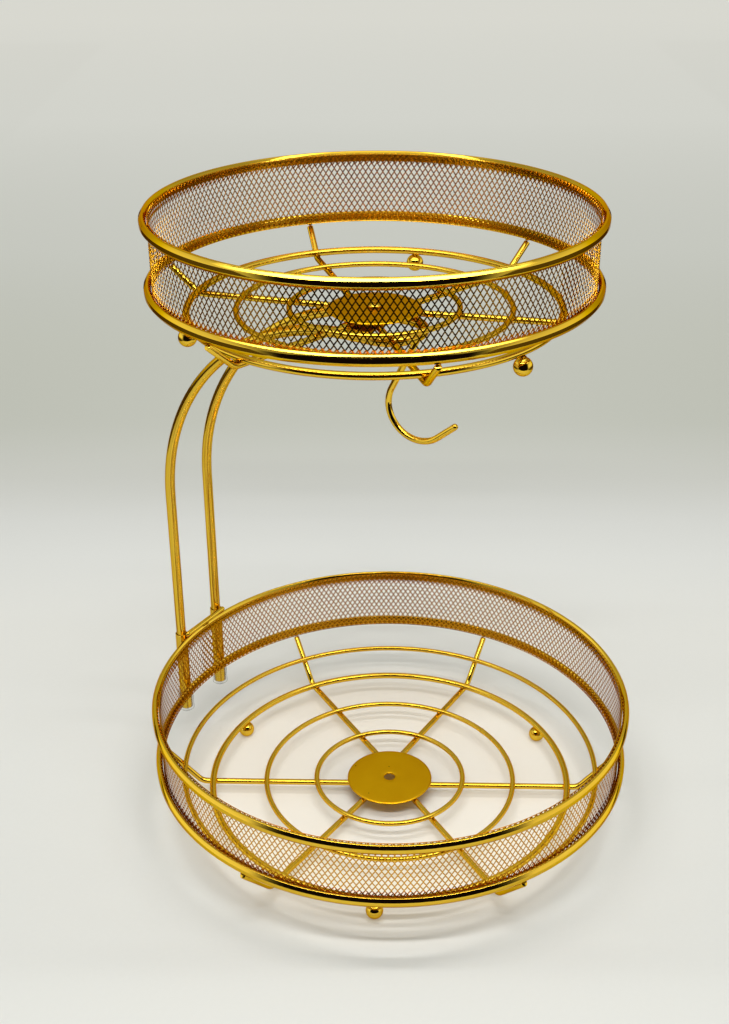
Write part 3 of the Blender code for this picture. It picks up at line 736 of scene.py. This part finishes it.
def moulded_clear():
    """Clear moulded PVC: see-through where its wall is met square, and grey where the eye skims along it."""
    material, tree, shader = new_finish("clear_moulded_pvc_cap", {"Roughness": 0.08, "IOR": 1.5})
    where = add_node(tree, "TexCoord").outputs["Object"]
    length, height = CUP_RIPPLE
    ripple = add_node(tree, "TexNoise", None, {"Vector": where, "Scale": 1 / length, "Detail": 2.0})
    haze = add_node(tree, "MixRGB", None, (ripple, linear("#7C7C76"), linear("#64645E")))
    bump = add_node(tree, "Bump", None, {"Strength": 1.0, "Distance": height, "Height": ripple})
    skim = add_node(tree, "LayerWeight", None, {"Blend": 0.3}).outputs["Facing"]
    wall = add_node(tree, "MapRange", SMOOTH, (skim, *CUP_SKIM, *CUP_SEEN))
    set_inputs(tree, shader, {"Base Color": haze, "Alpha": wall, "Normal": bump})
    return material


made_finishes = {}


def finish(kind):
    """The finish of that kind, made the first time it is asked for."""
    if kind not in made_finishes:
        made_finishes[kind] = moulded_clear() if kind == "clear" else plated(kind)
    return made_finishes[kind]


class StandOperator:
    """What all operators here share."""

    bl_options = {"REGISTER", "UNDO"}

    def execute(self, context):
        self.build(context.scene.stand_sizes)
        return {"FINISHED"}


def rim_section(sizes):
    """Rolled rim wire: a tall hexagon with round corners, upright sides and bevels to its top and bottom."""
    x, z = sizes.rim_width / 2, sizes.rim_height / 2
    quarter = [(x, SHOULDER_SHARE * z), (CROWN_SHARE * x, z)]
    upper = quarter + [(-a, b) for a, b in quarter[::-1]]
    corners = [(x, 0), *upper, *[(-a, -b) for a, b in upper], (x, 0)]
    return arc_path(corners, [RIM_CORNER] * 8, 5)[:-1]


class STAND_OT_rims(StandOperator, bpy.types.Operator):
    """Rolled rim wires of both baskets: a rounded hexagon carried round a circle"""

    bl_idname = "stand.rims"
    bl_label = "Rims"

    def build(self, sizes):
        for basket in BASKETS:
            path, side = ring_path(rim_radius(basket, sizes), ROUND_STEPS)
            for place, welds in (("top", NO_WELD), ("bottom", weld_places(basket, sizes)["rim"])):
                node = f"{basket.name}_{place}_rim"
                rows = swept(path, side, rim_section(sizes), ring=True) + middle(node)
                add_wire(f"{node}_wire", rows, basket.body, node, welds, ring=True)


class STAND_OT_floor_rings(StandOperator, bpy.types.Operator):
    """Round floor rings of both baskets, each with a small swelling at its butt weld"""

    bl_idname = "stand.floor_rings"
    bl_label = "Floor rings"

    def build(self, sizes):
        for basket in BASKETS:
            axis = basket_axis(basket)
            welds = weld_places(basket, sizes)["ring"]
            for number in range(1, basket.rings + 1):
                radius, height, wire = ring_size(basket, number, sizes)
                path, side = ring_path(radius, ROUND_STEPS)
                butt = BUTTS.get(f"{basket.name}_{number}", HIDDEN_BUTT)
                angle = (np.arange(ROUND_STEPS) * 2 * pi / ROUND_STEPS - butt + pi) % (2 * pi) - pi
                swell = 1 + BUTT_SWELL * np.exp(-(angle * radius / BUTT_LENGTH) ** 2)
                centre = np.array([axis[0], axis[1], height])
                rows = swept(path, side, oval(wire, wire, 16) * swell[:, None, None], ring=True) + centre
                spot = centre + radius * np.array([cos(butt), sin(butt), 0])
                node = f"{basket.name}_ring_{number}"
                add_wire(f"{node}_wire", rows, basket.body, node, [spot, *welds], ring=True)


class STAND_OT_spokes(StandOperator, bpy.types.Operator):
    """Six wires, each bent into a V whose legs turn up to the bottom rim: a circle along arcs and lines"""

    bl_idname = "stand.spokes"
    bl_label = "Spokes"

    def build(self, sizes):
        for basket in BASKETS:
            bend, rise = spoke_bend(basket, sizes)
            lines = spoke_lines(basket)
            places = weld_places(basket, sizes)
            for i in range(3):
                (corner, left), (_, right) = lines[2 * i], lines[2 * i + 1]
                lift = np.array([0, 0, rise])
                ends = []
                for way in (left, right):
                    low = corner + way * reach_along(corner, way, bend)
                    ends.append((low, low + way * rise / tan(basket.rise) + lift))
                corners = [ends[0][1], ends[0][0], corner, ends[1][0], ends[1][1]]
                path = arc_path(corners, (SPOKE_BEND_RADIUS, SPOKE_NOSE_RADIUS, SPOKE_BEND_RADIUS), 12)
                path, scale = ended(path, SPOKE_RADIUS, "cut", "cut")
                side = unit(np.cross(np.gradient(path, axis=0), (0, 0, 1)))
                rows = swept(path, side, oval(2 * SPOKE_RADIUS, 2 * SPOKE_RADIUS, 20) * scale)
                node = f"{basket.name}_spoke_{i + 1}"
                add_wire(f"{node}_wire", rows + basket_axis(basket), basket.body, node,
                         [*places["ring"], *places["rim"]])


class STAND_OT_discs(StandOperator, bpy.types.Operator):
    """Stamped centre discs: a flat profile with rolled edges turned about the axis"""

    bl_idname = "stand.discs"
    bl_label = "Discs"

    def build(self, sizes):
        for basket in BASKETS:
            node = f"{basket.name}_disc"
            low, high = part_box(node)
            thick = high.z - low.z
            hole, edge = HOLE_RADII[basket.name], reach(node)
            flat = edge - EDGE_ROLL
            angle = np.linspace(0, pi / 2, 9)
            height = thick / 3 + thick * 2 / 3 * np.sin(angle)
            outer = np.stack([flat + EDGE_ROLL * np.cos(angle), height], -1)
            lip = np.array([(flat, 0), (edge - DISC_BURR, 0), (edge, DISC_BURR)])
            angle = np.linspace(-pi / 2, pi / 2, 7)
            height = thick / 2 - thick / 2 * np.sin(angle)
            inner = np.stack([hole + DISC_BURR - DISC_BURR * np.cos(angle), height], -1)
            between = np.linspace(1, 0, 8)[1:-1]
            top = np.stack([hole + (flat - hole) * between, np.full(6, thick)], -1)
            under = np.stack([hole + (flat - hole) * between[::-1], np.zeros(6)], -1)
            rows = revolved(np.concatenate([lip, outer, top, inner, under]), 96, node, low.z)
            add_piece(f"{node}_sheet", [shell(rows, ring=True)], "sheet", basket.body, [node],
                      NO_WELD)


class STAND_OT_feet(StandOperator, bpy.types.Operator):
    """Ball feet under the third ring: spheres, stained at their weld"""

    bl_idname = "stand.feet"
    bl_label = "Feet"

    def build(self, sizes):
        for basket in BASKETS:
            for i in range(3):
                node = f"{basket.name}_foot_{i + 1}"
                ball = spheroids([middle(node)], [(FOOT_RADIUS,) * 3], 40, 24)
                add_piece(f"{node}_ball", [ball], "wire", basket.body, [node],
                          [middle(node) + (0, 0, FOOT_RADIUS)])


class STAND_OT_mesh_walls(StandOperator, bpy.types.Operator):
    """Expanded-metal walls: one band of diamond cells, with a second layer folded inside at both edges"""

    bl_idname = "stand.mesh_walls"
    bl_label = "Mesh walls"

    def build(self, sizes):
        sheet = sizes.mesh_sheet
        for basket in BASKETS:
            node = f"{basket.name}_mesh_wall"
            low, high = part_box(node)
            outer = reach(node)
            inner = outer - LAYER_DEPTH * sheet
            top, bottom = high.z - EDGE_DROP, low.z + sheet
            step = (top - bottom) / MESH_ROWS
            hem_step = step * HEM_STEP
            hem_top = top - HEM_ROWS * HEM_STEP * step
            single = (outer, outer - sheet, sizes.strand)
            lapped = (inner, inner - sheet, sizes.strand)
            hem = (inner, inner - sheet, HEM_STRANDS * sizes.strand)
            count = basket.columns
            parts = [expanded_sheet(single, count, MESH_ROWS, bottom, step),
                     expanded_sheet(hem, count, HEM_ROWS, bottom, hem_step, HEM_SHIFT),
                     expanded_sheet(hem, count, HEM_ROWS, hem_top, hem_step, HEM_SHIFT),
                     expanded_sheet(lapped, count, MESH_ROWS - 4, bottom + 2 * step, step, SEAM_SHIFT,
                                    SEAMS[basket.name])]
            path, side = ring_path(outer - FOLD_DEPTH * sheet, ROUND_STEPS)
            section = oval(FOLD_SECTION[0] * sheet, FOLD_SECTION[1] * sheet, 8)
            for height in (bottom, top):
                fold = swept(path, side, section, ring=True) + np.array([0, 0, height])
                points, faces = shell(fold, ring=True)
                parts.append((points, faces, np.zeros(len(points))))
            # Shares of the painted shade on the mesh's inside, stronger in the lower basket
            inside = np.concatenate([part[2] for part in parts]) * basket.brown
            axis = np.array([*middle(node)[:2], 0])
            parts = [(points + axis, faces) for points, faces, _ in parts]
            add_piece(f"{node}_sheet", parts, "mesh", basket.body, [node], flat_from=25,
                      inside=inside)


class STAND_OT_sleeves(StandOperator, bpy.types.Operator):
    """Two sleeves for the arm and the rod that joins their tops: a turned tube profile, a round-ended wire"""

    bl_idname = "stand.sleeves"
    bl_label = "Sleeves and rod"

    def build(self, sizes):
        apart, drop = ROD_STAINS
        for node in ("sleeve_left", "sleeve_right"):
            low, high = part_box(node)
            x, y, _ = middle(node)
            radius = reach(node)
            bore = TUBE_RADIUS + GAP
            lip = (radius - bore) / 2
            angle = np.linspace(0, pi, 7)
            top = np.stack([bore + lip + lip * np.cos(angle), high.z - lip + lip * np.sin(angle)], -1)
            under = np.stack([bore + lip - lip * np.cos(angle), low.z + lip - lip * np.sin(angle)], -1)
            rows = revolved(np.concatenate([top, under]), 40, node)
            spots = [(x, y - radius, middle(f"lower_{place}_rim")[2]) for place in ("top", "bottom")]
            spots.append((x * apart, y - radius, high.z - drop))
            add_wire(f"{node}_tube", rows, "lower_basket", node, spots, ring=True, kind="tube")
        low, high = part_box("sleeve_rod")
        radius = (high.z - low.z) / 2
        _, y, z = middle("sleeve_rod")
        path = np.stack([np.linspace(low.x, high.x, 30), np.full(30, y), np.full(30, z)], -1)
        rows = round_wire(path, (0, 1, 0), radius, "round", "round")
        spots = [(ROD_MIDDLE, y - radius * ROD_ROUND, z - radius * ROD_ROUND), (-ROD_END, y + radius, z),
                 (ROD_END, y + radius, z)]
        add_wire("sleeve_rod_wire", rows, "lower_basket", "sleeve_rod", spots)


class STAND_OT_caps(StandOperator, bpy.types.Operator):
    """Clear cups on the sleeves' lower ends: a wall and floor profile turned about the axis"""

    bl_idname = "stand.caps"
    bl_label = "Caps"

    def build(self, sizes):
        for side_name in ("left", "right"):
            node = f"sleeve_cap_{side_name}"
            low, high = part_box(node)
            inner = reach(f"sleeve_{side_name}") + GAP
            outer = inner + CUP_WALL
            flare = reach(node)
            floor = low.z + CUP_FLOOR
            profile = np.array([
                (CUP_BREAK, floor), (inner - CUP_CORNER, floor), (inner, floor + CUP_CORNER),
                (inner, high.z - CUP_BREAK), (inner + CUP_BREAK, high.z), (outer - CUP_BREAK, high.z),
                (outer, high.z - CUP_LIP), (outer, floor + CUP_FLARE_RISE), (flare, floor),
                (flare, low.z + CUP_CORNER), (flare - CUP_CORNER, low.z), (CUP_BREAK, low.z)])
            add_piece(f"{node}_cup", [shell(revolved(profile, 40, node))], "clear", "lower_basket", [node],
                      flat_from=50)


class STAND_OT_arm_tube(StandOperator, bpy.types.Operator):
    """One hollow tube: up a leg, over a quarter oval, level, round the U-bend and back down"""

    bl_idname = "stand.arm_tube"
    bl_label = "Arm tube"

    def build(self, sizes):
        y, end, top = arm_tops()
        level = y - end - HALF_SPACING
        run = level - ARM_LEVEL_RUN
        straight = np.linspace(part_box("arm_tube")[0].z, top - ARM_BEND_RISE, 30)[:-1]
        leg = np.stack([0 * straight, 0 * straight, straight], -1)
        angle = np.linspace(0, pi / 2, 40)
        height = top - ARM_BEND_RISE * (1 - np.sin(angle))
        neck = np.stack([0 * angle, -run * (1 - np.cos(angle)), height], -1)
        half = np.concatenate([leg, neck])
        angle = np.linspace(0, pi, 36)
        u_bend = np.stack([HALF_SPACING * np.cos(angle), -level - HALF_SPACING * np.sin(angle),
                           np.full(36, top)], -1)
        shift = np.array([HALF_SPACING, 0, 0])
        path = np.concatenate([half + shift, u_bend, (half - shift)[::-1]]) + (0, y, 0)
        way = unit(np.gradient(path, axis=0))
        flat = np.abs(way[:, 2]) < 0.001
        inward = -np.sign(path[:, :1]) * np.array([1.0, 0, 0])
        side = np.where(flat[:, None], np.cross(way, (0, 0, 1)), inward)
        outer, inner = (swept(path, side, oval(2 * radius, 2 * radius, 28))
                        for radius in (TUBE_RADIUS, TUBE_RADIUS - TUBE_WALL))
        spots = [(0, end, top - TUBE_RADIUS), *plate_spots(top + TUBE_RADIUS)]
        add_wire("arm_tube_bent", np.concatenate([outer, inner[::-1]]), "arm", "arm_tube", spots, ring=True,
                 kind="tube")


class STAND_OT_plate(StandOperator, bpy.types.Operator):
    """Cross plate on the tubes: round-cornered outlines joined to the hole's circle, with bevelled edges"""

    bl_idname = "stand.plate"
    bl_label = "Plate"

    def build(self, sizes):
        low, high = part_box("arm_plate")
        angle = (np.arange(96) + 0.5) * 2 * pi / 96

        def outline(inset):
            corner = PLATE_CORNER - inset
            x = np.sign(np.cos(angle)) * ((high.x - low.x) / 2 - PLATE_CORNER) + corner * np.cos(angle)
            y = np.sign(np.sin(angle)) * ((high.y - low.y) / 2 - PLATE_CORNER) + corner * np.sin(angle)
            return np.stack([x, y], -1)

        edge, inset = outline(0), outline(PLATE_BEVEL)
        around = unit(edge) * PLATE_HOLE
        levels = [(inset, high.z), (edge, high.z - PLATE_BEVEL), (edge, low.z + PLATE_BEVEL), (inset, low.z),
                  (around, low.z), (around, high.z)]
        rows = np.stack([np.column_stack([xy, np.full(96, z)]) for xy, z in levels])
        rows += middle("arm_plate") * (1, 1, 0)
        add_piece("arm_plate_sheet", [shell(rows, ring=True)], "sheet", "arm", ["arm_plate"],
                  plate_spots(low.z), flat_from=30)


class STAND_OT_hook(StandOperator, bpy.types.Operator):
    """Banana hook: a stem, an arc of a circle and a straight tip, all tangent, with a round end"""

    bl_idname = "stand.hook"
    bl_label = "Banana hook"

    def build(self, sizes):
        _, y, top = arm_tops()
        lean = np.arcsin(HOOK_RADIUS / HOOK_DROP)
        stem = np.array([0, y, top]) + (TUBE_RADIUS + GAP) * np.array([0, sin(lean), -cos(lean)])
        angle = np.linspace(lean, -pi / 2 - HOOK_TIP_RISE, 48)
        height = top - HOOK_DROP + HOOK_RADIUS * np.sin(angle)
        arc = np.stack([0 * angle, y + HOOK_RADIUS * np.cos(angle), height], -1)
        ahead = np.array([0, -cos(HOOK_TIP_RISE), sin(HOOK_TIP_RISE)])
        tip = arc[-1] + np.linspace(0, HOOK_TIP_LENGTH, 6)[1:, None] * ahead
        rows = round_wire(np.concatenate([[stem], arc, tip]), (1, 0, 0), sizes.hook_wire / 2, "cut", "round")
        add_wire("banana_hook_wire", rows, "arm", "banana_hook", [stem])


class STAND_OT_screw(StandOperator, bpy.types.Operator):
    """Clamp screw: a dome with a cross recess over a threaded shank. The frame's nut keeps its shape"""

    bl_idname = "stand.screw"
    bl_label = "Screw and nut"

    def build(self, sizes):
        low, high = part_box("clamp_screw")
        head = reach("clamp_screw")
        bottom = high.z - HEAD_HEIGHT
        lip = bottom + HEAD_LIP
        dome, threads, around = 18, 90, 48
        angle = np.linspace(0.02, pi / 2, dome)
        shank_z = np.linspace(bottom, low.z, threads)
        radius = np.concatenate([head * np.sin(angle), [head, head - HEAD_BREAK, SHANK_RADIUS],
                                 np.full(threads, SHANK_RADIUS), [POINT_RADIUS]])
        height = np.concatenate([lip + (high.z - lip) * np.cos(angle), [bottom + HEAD_BREAK, bottom, bottom],
                                 shank_z, [low.z]])
        rows = revolved(np.stack([radius, height], -1), around)
        x, y = np.abs(rows[:dome, :, 0]), np.abs(rows[:dome, :, 1])
        (wide, long), (side_slope, end_slope) = RECESS_ARM, RECESS_SLOPE
        across = np.clip((wide - np.minimum(x, y)) / side_slope, 0, 1)
        rows[:dome, :, 2] -= RECESS_DEPTH * (across * np.clip((long - np.hypot(x, y)) / end_slope, 0, 1))
        thread = (shank_z[:, None] / THREAD_PITCH + np.arange(around) / around) % 1
        depth = THREAD_DEPTH * np.abs(2 * thread - 1)
        rows[dome + 3:dome + 3 + threads, :, :2] *= (1 - depth / SHANK_RADIUS)[..., None]
        rows = turned(rows, pi / 4) + np.array([*middle("clamp_screw")[:2], 0])
        add_piece("clamp_screw_headed", [shell(rows)], "screw", "arm", ["clamp_screw"],
                  flat_from=30)
        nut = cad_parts["clamp_nut"].data.materials
        nut.clear()
        nut.append(finish("screw"))


class STAND_OT_welds(StandOperator, bpy.types.Operator):
    """Spot welds where wires cross: small ellipsoids that fill the clearance between them"""

    bl_idname = "stand.welds"
    bl_label = "Welds"

    def build(self, sizes):
        _, y, top = arm_tops()
        beads = {"arm": [(spot, PLATE_BEAD) for spot in plate_spots(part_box("arm_plate")[0].z)]}
        beads["arm"].append((np.array([0, y, top - TUBE_RADIUS]) + HOOK_BEAD_PLACE, HOOK_BEAD))
        for basket in BASKETS:
            places = weld_places(basket, sizes)
            spots = places["ring"] + places["rim"] + places["disc"]
            beads[basket.name] = [(spot, WIRE_BEAD) for spot in spots]
            beads[basket.name] += [(middle(f"{basket.name}_foot_{i + 1}") + (0, 0, FOOT_RADIUS), FOOT_BEAD)
                                   for i in range(3)]
        for place in ("top", "bottom"):
            rim = middle(f"lower_{place}_rim")
            for x in (-HALF_SPACING, HALF_SPACING):
                leg = np.array([x, middle("sleeve_left")[1], 0])
                out = unit((leg - rim) * (1, 1, 0))
                spot = leg - out * (reach("sleeve_left") + GAP / 2) + (0, 0, rim[2])
                beads["lower"].append((spot, SLEEVE_BEAD))
        beads["lower"].append((middle("sleeve_rod") + ROD_BEAD_PLACE, ROD_BEAD))
        for name, body in (("lower", LOWER.body), ("upper", UPPER.body), ("arm", "arm")):
            spots, halves = zip(*beads[name])
            add_piece(f"{name}_welds", [spheroids(spots, np.array(halves))], "weld", body, ())


def paper(colours):
    """Matt studio paper with faint grain, under painted light: a golden glow under the stand that stands for
    light bounced from the gold, and grey bands of painted light and shade by distance before and behind it.

    Seen straight, in metal or through plastic, part of its tone is this painted glow of its own, so that
    shadows on it stay light.
    """
    material, tree, shader = new_finish("matt_studio_paper", {"Roughness": 0.9, "Specular IOR Level": 0.1})
    where = add_node(tree, "TexCoord").outputs["Object"]
    grain = add_node(tree, "TexNoise", None, {"Vector": where, "Scale": 1 / PAPER_GRAIN, "Detail": 4.0})
    tone = add_node(tree, "MapRange", None, (grain, 0.0, 1.0, *GRAIN_SHADE))
    grey = add_node(tree, "VectorMath", {"operation": "SCALE"}, {0: colours.paper, "Scale": tone})
    set_inputs(tree, shader, {"Base Color": grey})
    # The ramp's tones glow as painted light and shade that even out the lamps' fall-off over the paper
    along = add_node(tree, "VectorMath", {"operation": "DOT_PRODUCT"}, (where, VIEW_AHEAD)).outputs["Value"]
    far = add_node(tree, "MapRange", None, (along, PAPER_FROM, PAPER_TO))
    ramp = add_node(tree, "ValToRGB", None, (far,))
    elements = ramp.color_ramp.elements
    while len(elements) < len(PAPER_TONES):
        elements.new(0.5)
    for element, (place, shade) in zip(elements, PAPER_TONES):
        element.position = (place - PAPER_FROM) / (PAPER_TO - PAPER_FROM)
        element.color = linear(shade)
    # Painted golden light under the baskets, for light bounced from the gold
    near = add_node(tree, "VectorMath", {"operation": "LENGTH"}, (where,)).outputs["Value"]
    bounce_share = add_node(tree, "MapRange", SMOOTH, (near, BOUNCE_FROM, BOUNCE_TO, 1.0, 0.0))
    own = add_node(tree, "MixRGB", None, (bounce_share, ramp, linear(PAINTED_BOUNCE_TONE)))
    glow = add_node(tree, "Emission", None, (own, OWN_TONE_STRENGTH))
    rays = add_node(tree, "LightPath").outputs
    seen = rays["Is Camera Ray"]
    for kind in ("Is Glossy Ray", "Is Transmission Ray"):
        seen = add_node(tree, "Math", {"operation": "MAXIMUM"}, (seen, rays[kind]))
    open_part = add_node(tree, "MapRange", SMOOTH, (near, OWN_TONE_FROM, OWN_TONE_TO, 0.0, OWN_TONE_SHARE))
    part = add_node(tree, "Math", {"operation": "MULTIPLY"}, (seen, open_part))
    mixed = add_node(tree, "MixShader", None, (part, shader, glow))
    set_inputs(tree, tree.nodes["Material Output"], {"Surface": mixed})
    return material


def stage_sheet(name, corners, material):
    """A flat sheet of the studio."""
    mesh = bpy.data.meshes.new(name)
    mesh.from_pydata(corners, [], [tuple(range(len(corners)))])
    mesh.materials.append(material)
    sheet = bpy.data.objects.new(name, mesh)
    bpy.context.scene.collection.objects.link(sheet)
    return sheet


def reflected_card(name, tone, strength, corners, fade):
    """A card that only metal mirrors. Its corners lie in the frame of the view.

    To both sides it turns clear between the two distances of its fade.
    """
    material = bpy.data.materials.new(name)
    material.use_nodes = True
    tree = material.node_tree
    tree.nodes.clear()
    glow = add_node(tree, "Emission", None, (linear(tone), strength))
    clear = add_node(tree, "BsdfTransparent")
    where = add_node(tree, "TexCoord").outputs["Object"]
    beside = add_node(tree, "VectorMath", {"operation": "DOT_PRODUCT"}, (where, VIEW_RIGHT)).outputs["Value"]
    away = add_node(tree, "Math", {"operation": "ABSOLUTE"}, (beside,))
    share = add_node(tree, "MapRange", SMOOTH, (away, *fade))
    mixed = add_node(tree, "MixShader", None, (share, glow, clear))
    add_node(tree, "OutputMaterial", None, {"Surface": mixed})
    card = stage_sheet(name, [tuple(corner) for corner in turned(corners, VIEW_TURN)], material)
    for rays in ("camera", "diffuse", "shadow", "transmission"):
        setattr(card, f"visible_{rays}", False)


def add_strip(name, place, watts):
    """A long soft lamp that shines straight down and that metal doesn't mirror."""
    lamp = bpy.data.lights.new(name, "AREA")
    lamp.shape = "RECTANGLE"
    lamp.size, lamp.size_y = LAMP_SIZE
    lamp.energy = watts
    thing = bpy.data.objects.new(name, lamp)
    thing.location = place
    thing.rotation_euler.z = VIEW_TURN
    thing.visible_glossy = False
    bpy.context.scene.collection.objects.link(thing)


class STAND_OT_stage(StandOperator, bpy.types.Operator):
    """Paper, light tent, lamps and the camera at the photograph's viewing angle"""

    bl_idname = "stand.stage"
    bl_label = "Stage"

    def build(self, sizes):
        far = PAPER_REACH
        stage_sheet("paper_floor", [(-far, -far, 0), (far, -far, 0), (far, far, 0), (-far, far, 0)],
                    paper(bpy.context.scene.stand_colours))
        half, centre, ahead, top = OPENING
        left, right = centre - half, centre + half
        reflected_card("dark_room_in_front", OPENING_TONE, 1.0,
                       [(left, ahead, OPENING_FOOT), (right, ahead, OPENING_FOOT), (right, ahead, top),
                        (left, ahead, top)], OPENING_FADE)
        for name, side in (("dark_room_left", -1), ("dark_room_right", 1)):
            near, far = (side * edge for edge in UNLIT_FLOOR)
            behind = UNLIT_FLOOR[1]
            corners = ((near, ahead), (far, ahead), (far, behind), (near, behind))
            reflected_card(name, UNLIT_TONE, 1.0, [(x, y, UNLIT_HEIGHT) for x, y in corners], UNLIT_FADE)
        self.add_tent()
        x = np.linspace(-STRIP_REACH, STRIP_REACH, 25)
        for name, y, bow, wide, strength in STRIPS:
            bowed = y + bow * x ** 2
            near = np.stack([x, bowed - wide, 0 * x + LAMP_HEIGHT], -1)
            far = np.stack([x, bowed + wide, 0 * x + LAMP_HEIGHT], -1)
            reflected_card(name, "#FFFFFF", strength, np.concatenate([near, far[::-1]]), STRIP_FADE)
        for name, y, watts in LAMPS:
            add_strip(name, turned((0.0, y, LAMP_HEIGHT + LAMP_RISE), VIEW_TURN), watts)
        self.add_camera()
        bpy.context.scene.view_settings.view_transform = "Standard"

    def add_tent(self):
        """White tent as the world, by height and by the share to the side, in the steps of TENT_STEPS."""
        world = bpy.data.worlds.new("white_light_tent")
        bpy.context.scene.world = world
        world.use_nodes = True
        tree = world.node_tree
        way = add_node(tree, "TexCoord").outputs["Generated"]
        beside = add_node(tree, "VectorMath", {"operation": "DOT_PRODUCT"},
                          (way, VIEW_RIGHT)).outputs["Value"]
        square = add_node(tree, "Math", {"operation": "MULTIPLY"}, (beside, beside))
        measures = {"side": square, "height": add_node(tree, "SeparateXYZ", None, (way,)).outputs["Z"]}
        steps = {}
        for name, (measure, *numbers) in TENT_STEPS.items():
            steps[name] = add_node(tree, "MapRange", SMOOTH, (measures[measure], *numbers))
        sides = add_node(tree, "Math", {"operation": "MULTIPLY"}, (square, TENT_SIDE_LIGHT))
        light = add_node(tree, "Math", {"operation": "ADD"}, (steps["light"], sides))
        around = add_node(tree, "Math", {"operation": "MULTIPLY_ADD"},
                          (steps["backdrop"], steps["beyond"], steps["side_wall"]))
        mirrored = add_node(tree, "Math", {"operation": "ADD"}, (around, steps["overhead"]))
        rays = add_node(tree, "LightPath").outputs
        seen = rays["Is Camera Ray"]
        unseen = add_node(tree, "MixRGB", None, (rays["Is Glossy Ray"], light, mirrored))
        strength = add_node(tree, "MixRGB", None, (seen, unseen, (TENT_SEEN, TENT_SEEN, TENT_SEEN, 1)))
        tone = add_node(tree, "MixRGB", None, (seen, linear(TENT_TONE), linear(TENT_SEEN_TONE)))
        set_inputs(tree, tree.nodes["Background"], {"Color": tone, "Strength": strength})

    def add_camera(self):
        """Camera at its fitted place, turned by yaw and pitch and rolled about its own line of sight."""
        ahead = Vector((sin(CAMERA_YAW) * cos(CAMERA_PITCH), cos(CAMERA_YAW) * cos(CAMERA_PITCH),
                        sin(CAMERA_PITCH)))
        right = Vector((cos(CAMERA_YAW), -sin(CAMERA_YAW), 0))
        up = right.cross(ahead)
        level = right * cos(CAMERA_ROLL) + up * sin(CAMERA_ROLL)
        above = up * cos(CAMERA_ROLL) - right * sin(CAMERA_ROLL)
        turn = Matrix.Rotation(VIEW_TURN, 3, "Z")
        pose = Matrix((turn @ level, turn @ above, turn @ -ahead)).transposed().to_4x4()
        lens = bpy.data.cameras.new("photo_camera")
        lens.sensor_fit = "HORIZONTAL"
        lens.sensor_width = 36
        lens.lens = FOCAL_PIXELS * lens.sensor_width / PICTURE_WIDTH
        camera = bpy.data.objects.new("photo_camera", lens)
        bpy.context.scene.collection.objects.link(camera)
        centre = Vector((0, middle("lower_top_rim")[1], 0))
        camera.matrix_world = Matrix.Translation(turn @ Vector(CAMERA_PLACE) + centre) @ pose
        bpy.context.scene.camera = camera


OPERATORS = (STAND_OT_rims, STAND_OT_floor_rings, STAND_OT_spokes, STAND_OT_discs, STAND_OT_feet,
             STAND_OT_mesh_walls, STAND_OT_sleeves, STAND_OT_caps, STAND_OT_arm_tube, STAND_OT_plate,
             STAND_OT_hook, STAND_OT_screw, STAND_OT_welds, STAND_OT_stage)


class STAND_PT_panel(bpy.types.Panel):
    """Lists the stand's pieces, sizes and colours"""

    bl_idname = "STAND_PT_panel"
    bl_label = "Fruit stand"
    bl_space_type = "VIEW_3D"
    bl_region_type = "UI"
    bl_category = "Fruit stand"

    def draw(self, context):
        for group in (context.scene.stand_sizes, context.scene.stand_colours):
            for name in group.__annotations__:
                self.layout.prop(group, name)
        for operator in OPERATORS:
            self.layout.operator(operator.bl_idname)


CLASSES = (StandSizes, StandColours, *OPERATORS, STAND_PT_panel)


def register():
    """Make the add-on's classes and settings known."""
    for made in CLASSES:
        bpy.utils.register_class(made)
    bpy.types.Scene.stand_sizes = PointerProperty(type=StandSizes)
    bpy.types.Scene.stand_colours = PointerProperty(type=StandColours)


def unregister():
    """Take the classes and settings away again."""
    del bpy.types.Scene.stand_colours
    del bpy.types.Scene.stand_sizes
    for made in reversed(CLASSES):
        bpy.utils.unregister_class(made)


def main():
    """Build every piece in order."""
    register()
    for operator in OPERATORS:
        group, name = operator.bl_idname.split(".")
        getattr(getattr(bpy.ops, group), name)()


if __name__ == "__main__":
    main()
